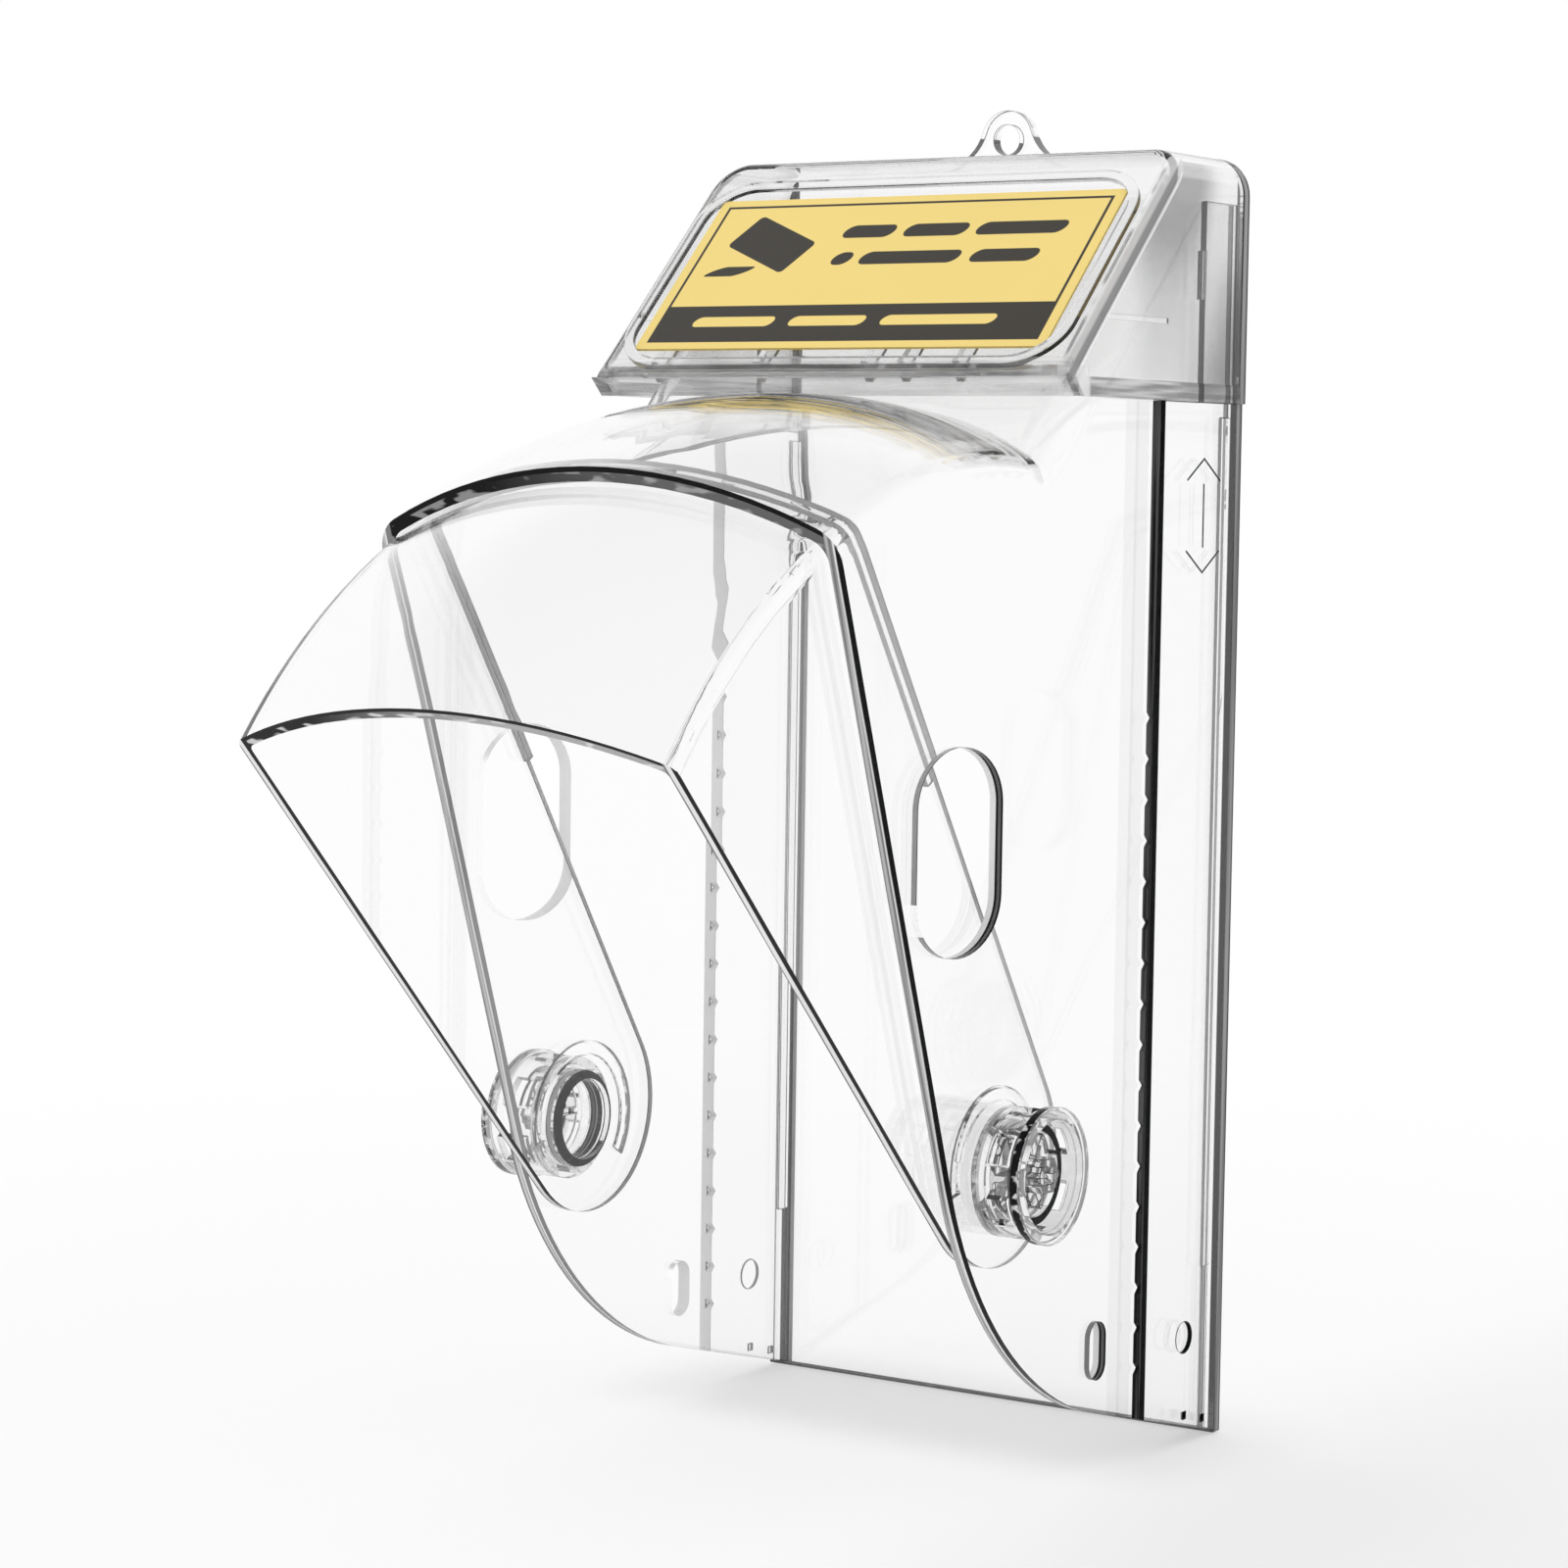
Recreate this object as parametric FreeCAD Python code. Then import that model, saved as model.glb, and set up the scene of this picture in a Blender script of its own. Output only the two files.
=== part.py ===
"""Clear rain cover for a video doorbell, with a tilting visor and a sign on top.

A channel-shaped back tray goes on the wall. A clear hood slides in it, so that the cover can be
made longer. A visor nests under the hood's vaulted roof and turns about two knobs at its arms'
ends. A wedge-shaped cap closes the top and carries a printed card on its sloping face.

Sizes are in millimetres. Side outlines are drawn from the tray's bottom edge upwards, with y = 0
on the wall and -y towards the visitor, and finished pieces are lowered so that the origin is the
centre of the tray's back face.
"""
import FreeCAD
import Part
import math
import os

Vector = FreeCAD.Vector

# Back tray
tray_width = 84.5
tray_height = 200.0
flange_depth = 25.0
tray_wall = 2.2
foot_rise_angle = 14.0
tab_height = 8.8
tab_tip_radius = 4.7
tab_sweep_radius = 7.9
hang_hole_radius = 2.4
notch_pitch = 6.25
notch_count = 17
notch_bottom = 14.0
notch_depth = 0.9
dimple_radius = 2.5
dimple_depth = 0.7
dimple_height = 17.0
pocket_size = 1.2
pocket_rise = 1.0
pocket_depths = (6.0, 12.0)
cheek_depth = 12.5

# Sliding hood
slide_clearance = 0.3
hood_wall = 2.2
hood_travel = 25.0
rail_height = 0.9
rail_width = 2.4
rail_setback = 3.2
rail_end_gap = 2.0
pivot_depth = 64.5
pivot_height = 50.0
hood_edge_angle = 19.0
edge_offset = 14.0
chin_radius = 62.0
roof_gap = 0.52
crown_drop = 10.0
hood_corner_radius = 6.0
head_room = 6.1
panel_gap = 6.3
leg_radius = 12.0
window_width = 23.0
window_height = 30.0
window_end = 8.5
window_depth = 78.0
window_centre = 97.0
grip_slot_width = 5.0
grip_slot_height = 9.0
grip_slot_depth = 35.5
grip_slot_centre = 18.5

# Tilting visor
nest_clearance = 0.4
visor_wall = 1.8
visor_open_angle = 25.0
arm_radius = 16.0
arm_spread = 11.0
visor_corner_radius = 2.4
lip_height = 0.9
lip_width = 1.4

# Pivots
hub_radius = 7.5
hub_wall = 1.2
running_clearance = 0.08
knob_gap = 0.3
knob_length = 8.2
knob_radius = 9.5
knob_wall = 1.3
knob_base = 1.6
rim_height = 0.5
rim_width = 1.6
hub_share = 0.62
knob_window_count = 6
knob_window_length = 3.4
knob_window_width = 4.6
fit_clearance = 0.1
hex_flats = 5.0
socket_width = 2.4
core_web = 1.0
core_rib_count = 6
core_rib_width = 1.0
stop_inner_radius = 9.9
stop_width = 2.0
stop_height = 0.5
stop_margin = 1.0
stop_arc = 200.0
stop_start_angle = -34.0

# Sign cap and card
cap_overhang = 0.5
cap_wall = 1.4
cap_skirt = 38.0
cap_corner_radius = 6.0
sign_angle = 45.0
sign_reach = 55.4
sign_chin = 3.6
cap_edge_radius = 2.5
frame_side_margin = 2.75
frame_top_margin = 5.5
frame_foot_margin = 0.7
frame_bead = 1.6
frame_proud = 0.9
frame_corner = 9.0
card_side_margin = 1.6
card_end_margin = 2.4
card_thickness = 0.4
card_corner = 0.8
spacer_width = 1.2
spacer_depth = 2.2
spacer_length = 9.0
spacer_places = (-32.0, -13.0, 6.5, 13.0, 22.5)
side_rib_height = 11.5
side_rib_length = 20.0
side_rib_inset = 3.0
side_rib_width = 0.8
rim_band_height = 2.8
rim_band_proud = 0.3
snap_bar_rise = 15.6
snap_bar_length = 7.4
snap_bar_width = 1.2
snap_bar_height = 0.9

# How far a feature's root reaches into the wall that carries it, and a cutter past the wall it cuts
root = 0.4
past = 1.0

# Worked out from the sizes above
half_tray = tray_width / 2
half_hood = half_tray - tray_wall - slide_clearance
half_visor = half_hood - hood_wall - nest_clearance
half_cap = half_tray + cap_overhang
cap_bottom = tray_height - cap_skirt
hood_back = tray_wall + slide_clearance
hood_top = tray_height - cap_wall - head_room
pivot = (-pivot_depth, pivot_height)
cap_lip = (-sign_reach + sign_chin, cap_bottom)
crown_radius = math.dist(pivot, cap_lip) - roof_gap
sign_rise = tray_height - cap_bottom - sign_chin
sign_length = sign_rise / math.sin(math.radians(sign_angle))
frame_width = 2 * (half_cap - frame_side_margin)
frame_height = sign_length - frame_top_margin - frame_foot_margin
card_width = frame_width - 2 * (frame_bead + card_side_margin)
card_height = frame_height - 2 * (frame_bead + card_end_margin)


def vec(y, z, x=0.0):
    """Return the point x, y, z, from a side outline's y and z."""
    return Vector(x, y, z)


def along(angle, length):
    """Return a step of this length that leans forward from the vertical by the angle."""
    turn = math.radians(angle)
    return -math.sin(turn) * length, math.cos(turn) * length


def forward(angle, length):
    """Return a step at right angles to the leaning line, towards the front."""
    turn = math.radians(angle)
    return -math.cos(turn) * length, -math.sin(turn) * length


def edge_point(angle, offset, length, centre=pivot):
    """Return a point on the line that passes a centre at an offset and leans by the angle."""
    off_y, off_z = forward(angle, offset)
    up_y, up_z = along(angle, length)
    return centre[0] + off_y + up_y, centre[1] + off_z + up_z


def crossing(first, first_way, second, second_way):
    """Return the side point where two lines cross, each given by a point and a direction."""
    scale = first_way[0] * second_way[1] - first_way[1] * second_way[0]
    gap = second[0] - first[0], second[1] - first[1]
    reach = (gap[0] * second_way[1] - gap[1] * second_way[0]) / scale
    return first[0] + first_way[0] * reach, first[1] + first_way[1] * reach


def inset_outline(points, insets):
    """Move each side of a closed outline inwards by its own distance and join the sides again.

    The outline runs anticlockwise seen with y to the right and z upwards.
    """
    sides = []
    for place, inset in enumerate(insets):
        start, end = points[place], points[(place + 1) % len(points)]
        length = math.hypot(end[0] - start[0], end[1] - start[1])
        way = (end[0] - start[0]) / length, (end[1] - start[1]) / length
        sides.append(((start[0] - way[1] * inset, start[1] + way[0] * inset), way))
    return [crossing(*sides[place - 1], *sides[place]) for place in range(len(sides))]


def prism(outline, half_width):
    """Extrude a closed side outline of y and z points across the cover."""
    points = [vec(y, z, -half_width) for y, z in outline]
    face = Part.Face(Part.makePolygon(points + [points[0]]))
    return face.extrude(Vector(2 * half_width, 0, 0))


def wire_prism(edges, half_width):
    """Extrude a side outline, given as edges in the plane x = 0, across the cover."""
    face = Part.Face(Part.Wire(Part.__sortEdges__(edges)))
    face.translate(Vector(-half_width, 0, 0))
    return face.extrude(Vector(2 * half_width, 0, 0))


def box(low, high):
    """Return a box between two corners."""
    size = [b - a for a, b in zip(low, high)]
    return Part.makeBox(*size, Vector(*low))


def drum(radius, low_x, high_x, centre=pivot):
    """Return a cylinder about an axis that runs across the cover."""
    return Part.makeCylinder(radius, high_x - low_x, vec(*centre, low_x), Vector(1, 0, 0))


def mirrored(shape):
    """Return the copy of a right-hand piece for the left-hand side."""
    return shape.mirror(Vector(0, 0, 0), Vector(1, 0, 0))


def both_sides(shape):
    """Return a right-hand shape together with its left-hand copy."""
    return [shape, mirrored(shape)]


def arc_through(first, middle, last):
    """Return the arc edge through three side points."""
    return Part.Arc(vec(*first), vec(*middle), vec(*last)).toShape()


def line(first, last):
    """Return the line edge between two side points."""
    return Part.makeLine(vec(*first), vec(*last))


def runs_along(edge, way):
    """Tell whether a straight edge runs along a unit direction."""
    return abs(edge.tangentAt(edge.FirstParameter).dot(way)) > 0.99


def rounded_plate(width, height, radius, thickness):
    """Return a plate in the plane z = 0 with rounded corners, centred on the origin."""
    plate = Part.makeBox(width, height, thickness, Vector(-width / 2, -height / 2, 0))
    return plate.makeFillet(radius, [e for e in plate.Edges if runs_along(e, Vector(0, 0, 1))])


def rounded_head(half_width, depth, bottom, top, radius):
    """Return the block at the top of the cover with rounded top corners, from the wall forwards."""
    head = box((-half_width, -depth, bottom), (half_width, 0, top))
    tops = [e for e in head.Edges if runs_along(e, Vector(0, 1, 0)) and e.CenterOfMass.z > top - radius]
    return head.makeFillet(radius, tops)


def ring_sector(inner, outer, low_x, high_x, start, sweep):
    """Return a part ring about the pivot axis, from a start angle over the top to the front."""
    ring = drum(outer, low_x, high_x).cut(drum(inner, low_x - past, high_x + past))
    turns = [math.radians(start + sweep * share) for share in (0.0, 0.25, 0.5, 0.75, 1.0)]
    reach = 3 * outer
    fan = [pivot] + [(pivot[0] + reach * math.cos(a), pivot[1] + reach * math.sin(a)) for a in turns]
    return ring.common(prism(fan, half_tray))


def barrel(half_width, crown, wall_corner):
    """Return the vault: an arched profile turned about the pivot axis.

    The profile is a shallow arc across the width that would drop by crown_drop at the hood's sides,
    and a small arc, tangent to it and to the side, that rounds each corner.
    """
    arch = (half_hood ** 2 + crown_drop ** 2) / (2 * crown_drop)
    centre_x = half_width - wall_corner
    rise = math.sqrt((arch - wall_corner) ** 2 - centre_x ** 2)
    centre_y = crown - arch + rise
    turn = math.atan2(rise, centre_x)
    touch, middle = [Vector(centre_x + wall_corner * math.cos(a), centre_y + wall_corner * math.sin(a), 0)
                     for a in (turn, turn / 2)]
    side, foot = Vector(half_width, centre_y, 0), Vector(half_width, 0, 0)
    edges = [Part.Arc(flipped(touch), Vector(0, crown, 0), touch).toShape(),
             Part.Arc(touch, middle, side).toShape(), Part.makeLine(side, foot),
             Part.makeLine(foot, flipped(foot)), Part.makeLine(flipped(foot), flipped(side)),
             Part.Arc(flipped(side), flipped(middle), flipped(touch)).toShape()]
    solid = Part.Face(Part.Wire(edges)).revolve(Vector(0, 0, 0), Vector(1, 0, 0), 360)
    solid.translate(vec(*pivot))
    return solid


def flipped(point):
    """Return the point mirrored to the other side of the cover."""
    return Vector(-point.x, point.y, point.z)


def hood_side_prism():
    """Return the block that trims the vault to the hood's side outline.

    Its slanting bottom line and its leaning front line are joined by an arc tangent to both.
    """
    foot = math.radians(foot_rise_angle)
    down = -math.cos(foot), math.sin(foot)
    up = along(hood_edge_angle, 1.0)
    base = -hood_back, hood_back * math.tan(foot)
    corner = crossing(base, down, edge_point(hood_edge_angle, edge_offset, 0.0), up)
    turn = math.radians(90.0 - hood_edge_angle - foot_rise_angle)
    cut = chin_radius * math.tan(turn / 2)
    low = corner[0] - down[0] * cut, corner[1] - down[1] * cut
    high = corner[0] + up[0] * cut, corner[1] + up[1] * cut
    middle_way = up[0] - down[0], up[1] - down[1]
    share = chin_radius * (1 / math.cos(turn / 2) - 1) / math.hypot(*middle_way)
    middle = corner[0] + middle_way[0] * share, corner[1] + middle_way[1] * share
    top = edge_point(hood_edge_angle, edge_offset, 1.5 * crown_radius)
    edges = [line(base, low), arc_through(low, middle, high), line(high, top),
             line(top, (base[0], top[1])), line((base[0], top[1]), base)]
    return wire_prism(edges, half_hood + past)


def panel_prism(inset, half_width, top):
    """Return the upper block under the sign: a sloping panel that curves down into the roof.

    The leg at the foot of the slope is an arc tangent to the slope and to the circle that the
    vault's sides run on. The block's side edges are rounded as the vault's are, on a block that
    still reaches behind the hood's back, so that a short flat top leaves them room.
    """
    slope = math.radians(sign_angle)
    normal = -math.sin(slope), math.cos(slope)
    gap = panel_gap + cap_wall + inset
    start = sign_top()[0] - normal[0] * gap, sign_top()[1] - normal[1] * gap
    ring = crown_radius - crown_drop - inset
    leg = leg_radius + inset
    depth = (pivot[0] - start[0]) * normal[0] + (pivot[1] - start[1]) * normal[1]
    angle = math.atan2(normal[1], normal[0]) - math.acos((leg - depth) / (ring + leg))
    centre = pivot[0] + (ring + leg) * math.cos(angle), pivot[1] + (ring + leg) * math.sin(angle)
    touch = centre[0] - normal[0] * leg, centre[1] - normal[1] * leg
    foot = pivot[0] + ring * math.cos(angle), pivot[1] + ring * math.sin(angle)
    middle_way = (touch[0] + foot[0]) / 2 - centre[0], (touch[1] + foot[1]) / 2 - centre[1]
    share = leg / math.hypot(*middle_way)
    middle = centre[0] + middle_way[0] * share, centre[1] + middle_way[1] * share
    ridge = crossing(touch, (math.cos(slope), math.sin(slope)), (0.0, top), (1.0, 0.0))
    base = pivot_height + arm_radius
    behind = hood_corner_radius
    edges = [line((foot[0], base), foot), arc_through(foot, middle, touch), line(touch, ridge),
             line(ridge, (behind, top)), line((behind, top), (behind, base)),
             line((behind, base), (foot[0], base))]
    block = wire_prism(edges, half_width)
    rounded = [e for e in block.Edges if follows_panel(e, foot, ridge)]
    block = block.makeFillet(hood_corner_radius - inset, rounded)
    trim = box((-half_width - past, -hood_back, base - past), (half_width + past, behind + past, top + past))
    return block.cut(trim)


def follows_panel(edge, foot, ridge):
    """Tell whether an edge runs up one side of the panel from its foot, or along its ridge."""
    ends = [v.Point for v in edge.Vertexes]
    on_panel = all(foot[1] - 0.01 < p.z < ridge[1] + 0.01 and p.y < ridge[0] + 0.01 for p in ends)
    on_ridge = all(p.z > ridge[1] - 0.01 for p in ends)
    runs_across = abs(ends[0].x - ends[-1].x) > 0.01
    return on_panel and (on_ridge or not runs_across)


def window_cutter():
    """Return the cutter for the hood's side windows: straight sides with oval ends."""
    half = window_width / 2
    straight = window_height / 2 - window_end
    edges = []
    for way in (1, -1):
        centre = vec(-window_depth, window_centre + way * straight)
        oval = Part.Ellipse(centre + Vector(0, half, 0), centre + Vector(0, 0, window_end), centre)
        first = 0.0 if way > 0 else math.pi
        edges.append(Part.ArcOfEllipse(oval, first, first + math.pi).toShape())
    for side in (-half, half):
        edges.append(line((-window_depth + side, window_centre - straight),
                          (-window_depth + side, window_centre + straight)))
    return wire_prism(edges, half_hood + past)


def grip_slot_cutter():
    """Return the cutter for the upright round-ended slots low in the hood's sides."""
    half = grip_slot_width / 2
    straight = grip_slot_height / 2 - half
    width = half_hood + past
    ends = [drum(half, -width, width, (-grip_slot_depth, grip_slot_centre + way * straight))
            for way in (-1, 1)]
    middle = box((-width, -grip_slot_depth - half, grip_slot_centre - straight),
                 (width, -grip_slot_depth + half, grip_slot_centre + straight))
    return ends[0].fuse([ends[1], middle])


def hood_rail():
    """Return the right-hand rail, which stays in the tray's groove over the hood's whole travel."""
    return box((half_hood - root, -rail_setback - rail_width, hood_travel + rail_end_gap),
               (half_hood + rail_height, -rail_setback, cap_bottom - slide_clearance - rail_end_gap))


def stop_lug():
    """Return the right-hand lug, a part ring on the hood's inner wall that stops the visor."""
    inner_face = half_hood - hood_wall
    return ring_sector(stop_inner_radius + slide_clearance, stop_inner_radius + stop_width,
                       inner_face - nest_clearance - stop_height, inner_face + root,
                       stop_start_angle + stop_margin, stop_arc)


def make_hood():
    """Build the hood: two side walls, the vaulted roof and the sloping panel, in one moulding."""
    vault = barrel(half_hood, crown_radius, hood_corner_radius).common(hood_side_prism())
    outside = vault.fuse(panel_prism(0.0, half_hood, hood_top)).removeSplitter()
    inner_half = half_hood - hood_wall
    inside = barrel(inner_half, crown_radius - hood_wall, hood_corner_radius - hood_wall)
    inside = inside.fuse(panel_prism(hood_wall, inner_half, hood_top + hood_wall))
    back = box((-inner_half, -hood_back - past, -past), (inner_half, past, hood_top + past))
    hub_hole = drum(hub_radius + running_clearance, -half_hood - past, half_hood + past)
    hood = outside.cut([inside, back, window_cutter(), grip_slot_cutter(), hub_hole])
    return hood.fuse(both_sides(hood_rail()) + both_sides(stop_lug())).removeSplitter()


def visor_leans():
    """Return how far the open visor's front and rear edges lean forward, in degrees."""
    front_lean = hood_edge_angle + visor_open_angle
    return front_lean, front_lean - arm_spread


def arm_centre():
    """Return the centre of the arm's round end, set so that the closed visor lies flush in front."""
    front_lean = visor_leans()[0]
    step = forward(front_lean, arm_radius - edge_offset)
    return pivot[0] - step[0], pivot[1] - step[1]


def visor_outline():
    """Return the visor's side block: a wedge that widens upwards from a round end at the pivot."""
    front_lean, rear_lean = visor_leans()
    centre = arm_centre()
    reach = 1.5 * crown_radius
    front = [edge_point(front_lean, arm_radius, length, centre) for length in (0.0, reach)]
    rear = [edge_point(rear_lean, -arm_radius, length, centre) for length in (0.0, reach)]
    below = edge_point((front_lean + rear_lean) / 2, 0.0, -arm_radius, centre)
    edges = [line(front[0], front[1]), line(front[1], rear[1]), line(rear[1], rear[0]),
             arc_through(rear[0], below, front[0])]
    return wire_prism(edges, half_visor + past)


def rear_lip(inner_crown):
    """Return the rib under the visor's rear edge, which stiffens it and stops drips."""
    rear_lean = visor_leans()[1]
    near = edge_point(rear_lean, -arm_radius, crown_radius / 2, arm_centre())
    far = edge_point(rear_lean, -arm_radius, 1.5 * crown_radius, arm_centre())
    step = forward(rear_lean, lip_width)
    inner_half = half_visor - visor_wall
    strip = prism([near, far, (far[0] + step[0], far[1] + step[1]), (near[0] + step[0], near[1] + step[1])],
                  inner_half + root)
    corner = visor_corner_radius - visor_wall / 2
    skin = barrel(inner_half + root, inner_crown + root, corner)
    below = barrel(inner_half - lip_height, inner_crown - lip_height, corner)
    return strip.common(skin).cut(below)


def make_visor():
    """Build the visor: vaulted shade, two arms and their tubular hubs, in one moulding."""
    outer_crown = crown_radius - hood_wall - nest_clearance
    inner_crown = outer_crown - visor_wall
    outside = barrel(half_visor, outer_crown, visor_corner_radius).common(visor_outline())
    inside = barrel(half_visor - visor_wall, inner_crown, visor_corner_radius - visor_wall / 2)
    visor = outside.cut(inside).fuse(rear_lip(inner_crown))
    recess = ring_sector(stop_inner_radius, stop_inner_radius + stop_width + slide_clearance,
                         half_visor - stop_height - slide_clearance, half_visor + past,
                         stop_start_angle, stop_arc + visor_open_angle + 2 * stop_margin)
    visor = visor.cut(both_sides(recess))
    hub_end = half_hood + knob_gap + knob_length * hub_share
    hub = drum(hub_radius, half_visor - visor_wall, hub_end)
    visor = visor.fuse(both_sides(hub))
    bore = drum(hub_radius - hub_wall, -hub_end - past, hub_end + past)
    return visor.cut(bore).removeSplitter()


def make_knob():
    """Build the right-hand knob: a windowed drum with a rim, which holds the hub in the hood."""
    base = half_hood + knob_gap
    end = base + knob_length
    inner = knob_radius - knob_wall
    cup = drum(knob_radius, base, end).cut(drum(inner, base + knob_base, end + past))
    rim = drum(knob_radius + rim_height, end - rim_width, end)
    rim = rim.cut(drum(inner, end - rim_width - past, end + past))
    knob = cup.fuse(rim).cut(drum(hub_radius + fit_clearance, base - past, end + past))
    start = base + knob_base + knob_wall / 2
    cutter = box((start, -knob_window_width / 2, knob_radius / 2),
                 (start + knob_window_length, knob_window_width / 2, knob_radius + past))
    return knob.cut(turned_copies(cutter, knob_window_count, 0.0)).removeSplitter()


def turned_copies(shape, count, first_step):
    """Move a shape from the origin to the pivot and repeat it about the axis, evenly spaced."""
    shape.translate(vec(*pivot))
    copies = []
    for place in range(count):
        copy = shape.copy()
        copy.rotate(vec(*pivot), Vector(1, 0, 0), 360.0 * (place + first_step) / count)
        copies.append(copy)
    return copies


def make_core():
    """Build the right-hand locking core: a web in the hub with a hex boss and radial ribs."""
    base = half_hood + knob_gap + knob_base
    end = half_hood + knob_gap + knob_length - rim_width / 2
    radius = hub_radius - hub_wall - fit_clearance
    corner = hex_flats / math.sqrt(3)
    turns = [math.radians(60 * step) for step in range(6)]
    points = [vec(pivot[0] + corner * math.cos(a), pivot[1] + corner * math.sin(a), base) for a in turns]
    boss = Part.Face(Part.makePolygon(points + [points[0]])).extrude(Vector(end - base, 0, 0))
    rib_end = (base + end) / 2
    rib = box((base, -core_rib_width / 2, 0), (rib_end, core_rib_width / 2, radius))
    limit = drum(radius, base, end)
    ribs = [r.common(limit) for r in turned_copies(rib, core_rib_count, 0.5)]
    core = drum(radius, base, base + core_web).fuse([boss] + ribs)
    half = socket_width / 2
    socket = box((base + 2 * core_web, pivot[0] - half, pivot[1] - half),
                 (end + past, pivot[0] + half, pivot[1] + half))
    return core.cut(socket).removeSplitter()


def hanging_tab():
    """Return the ear above the tray and the cutter for its hole.

    A round tip sweeps out on each side by a hollow arc, tangent to the tip and to the head's top.
    """
    tip = tray_height + tab_height - tab_tip_radius
    sweep = tray_height + tab_sweep_radius
    reach = tab_tip_radius + tab_sweep_radius
    half = math.sqrt(reach ** 2 - (tip - sweep) ** 2)
    share = tab_tip_radius / reach
    touch = half * share, tip + (sweep - tip) * share
    middle_way = (touch[0] + half) / 2 - half, (touch[1] + tray_height) / 2 - sweep
    scale = tab_sweep_radius / math.hypot(*middle_way)
    middle = half + middle_way[0] * scale, sweep + middle_way[1] * scale
    root_z = tray_height - cap_edge_radius
    edges = []
    for way in (1, -1):
        foot, mid, top = [Vector(way * x, 0, z) for x, z in ((half, tray_height), middle, touch)]
        edges.append(Part.Arc(foot, mid, top).toShape())
        edges.append(Part.makeLine(foot, Vector(way * half, 0, root_z)))
    edges.append(Part.makeLine(Vector(half, 0, root_z), Vector(-half, 0, root_z)))
    edges.append(Part.Arc(Vector(touch[0], 0, touch[1]), Vector(0, 0, tip + tab_tip_radius),
                          Vector(-touch[0], 0, touch[1])).toShape())
    ear = Part.Face(Part.Wire(Part.__sortEdges__(edges))).extrude(Vector(0, -tray_wall, 0))
    hole = Part.makeCylinder(hang_hole_radius, tray_wall + 2 * past, Vector(0, past, tip), Vector(0, -1, 0))
    return ear, hole


def tray_cheek():
    """Return the right-hand cheek, set in from the flange, that the cap fits over."""
    outer = half_cap - cap_wall - slide_clearance
    return box((half_tray - tray_wall, -cheek_depth, cap_bottom - tray_wall),
               (outer, -tray_wall + root, tray_height - cap_wall - cap_corner_radius))


def notch_cutter(height):
    """Return the cutter for one V-shaped notch in the inner half of the flange's front edge."""
    inner = half_tray - tray_wall
    reach = notch_depth + past
    points = [vec(-flange_depth + notch_depth, height, inner - past),
              vec(-flange_depth - past, height + reach, inner - past),
              vec(-flange_depth - past, height - reach, inner - past)]
    face = Part.Face(Part.makePolygon(points + [points[0]]))
    return face.extrude(Vector(past + tray_wall / 2, 0, 0))


def pocket_cutter(depth):
    """Return the cutter for a small square pocket above the slanting foot of the flange."""
    low = depth * math.tan(math.radians(foot_rise_angle)) + pocket_rise
    return box((half_tray - dimple_depth, -depth - pocket_size / 2, low),
               (half_tray + past, -depth + pocket_size / 2, low + pocket_size))


def tray_cutters():
    """Return what is cut from the right-hand flange: groove, dimple, foot pockets and notches."""
    inner = half_tray - tray_wall
    half_groove = rail_width / 2 + slide_clearance
    middle = -rail_setback - rail_width / 2
    groove = box((inner - past, middle - half_groove, -past),
                 (inner + rail_height, middle + half_groove, cap_bottom - tray_wall))
    cutters = [groove, drum(dimple_radius, half_tray - dimple_depth, half_tray + past,
                            (-flange_depth / 2, dimple_height))]
    cutters += [pocket_cutter(depth) for depth in pocket_depths]
    cutters += [notch_cutter(notch_bottom + place * notch_pitch) for place in range(notch_count)]
    return cutters


def make_tray():
    """Build the back tray: a plate with side flanges, a wider head, the rail grooves and the ear."""
    plate = box((-half_tray, -tray_wall, 0), (half_tray, 0, cap_bottom))
    head = rounded_head(half_cap, tray_wall, cap_bottom, tray_height, cap_corner_radius)
    foot = math.tan(math.radians(foot_rise_angle)) * flange_depth
    outline = [(0.0, 0.0), (-flange_depth, foot), (-flange_depth, cap_bottom), (0.0, cap_bottom)]
    hollow = box((-half_tray + tray_wall, -flange_depth - past, -past),
                 (half_tray - tray_wall, -tray_wall, cap_bottom + past))
    flanges = prism(outline, half_tray).cut(hollow)
    ear, hole = hanging_tab()
    tray = plate.fuse([head, flanges, ear] + both_sides(tray_cheek()))
    cutters = [hole]
    for cutter in tray_cutters():
        cutters += both_sides(cutter)
    return tray.cut(cutters).removeSplitter()


def sign_foot():
    """Return the lowest point of the sloping sign face."""
    return -sign_reach, cap_bottom + sign_chin


def sign_top():
    """Return the highest point of the sloping sign face."""
    return -sign_reach + sign_length * math.cos(math.radians(sign_angle)), tray_height


def on_sign(shape):
    """Lay a shape from the plane z = 0 on the sign face about the card's centre, its y up the slope."""
    laid = shape.copy()
    laid.rotate(Vector(0, 0, 0), Vector(1, 0, 0), sign_angle)
    slope = math.radians(sign_angle)
    climb = frame_foot_margin + frame_height / 2
    laid.translate(vec(sign_foot()[0] + climb * math.cos(slope), sign_foot()[1] + climb * math.sin(slope)))
    return laid


def cap_block(inset, open_by):
    """Return the cap's wedge, inset from its outside, and reaching past it below and behind."""
    back = -tray_wall - fit_clearance
    outline = [(back, cap_bottom), (back, tray_height), sign_top(), sign_foot(), cap_lip]
    outline = inset_outline(outline, (-open_by, inset, inset, inset, -open_by))
    head = rounded_head(half_cap - inset, sign_reach + past, cap_bottom - past, tray_height - inset,
                        cap_corner_radius - inset)
    return prism(outline, half_cap - inset).common(head)


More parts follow.
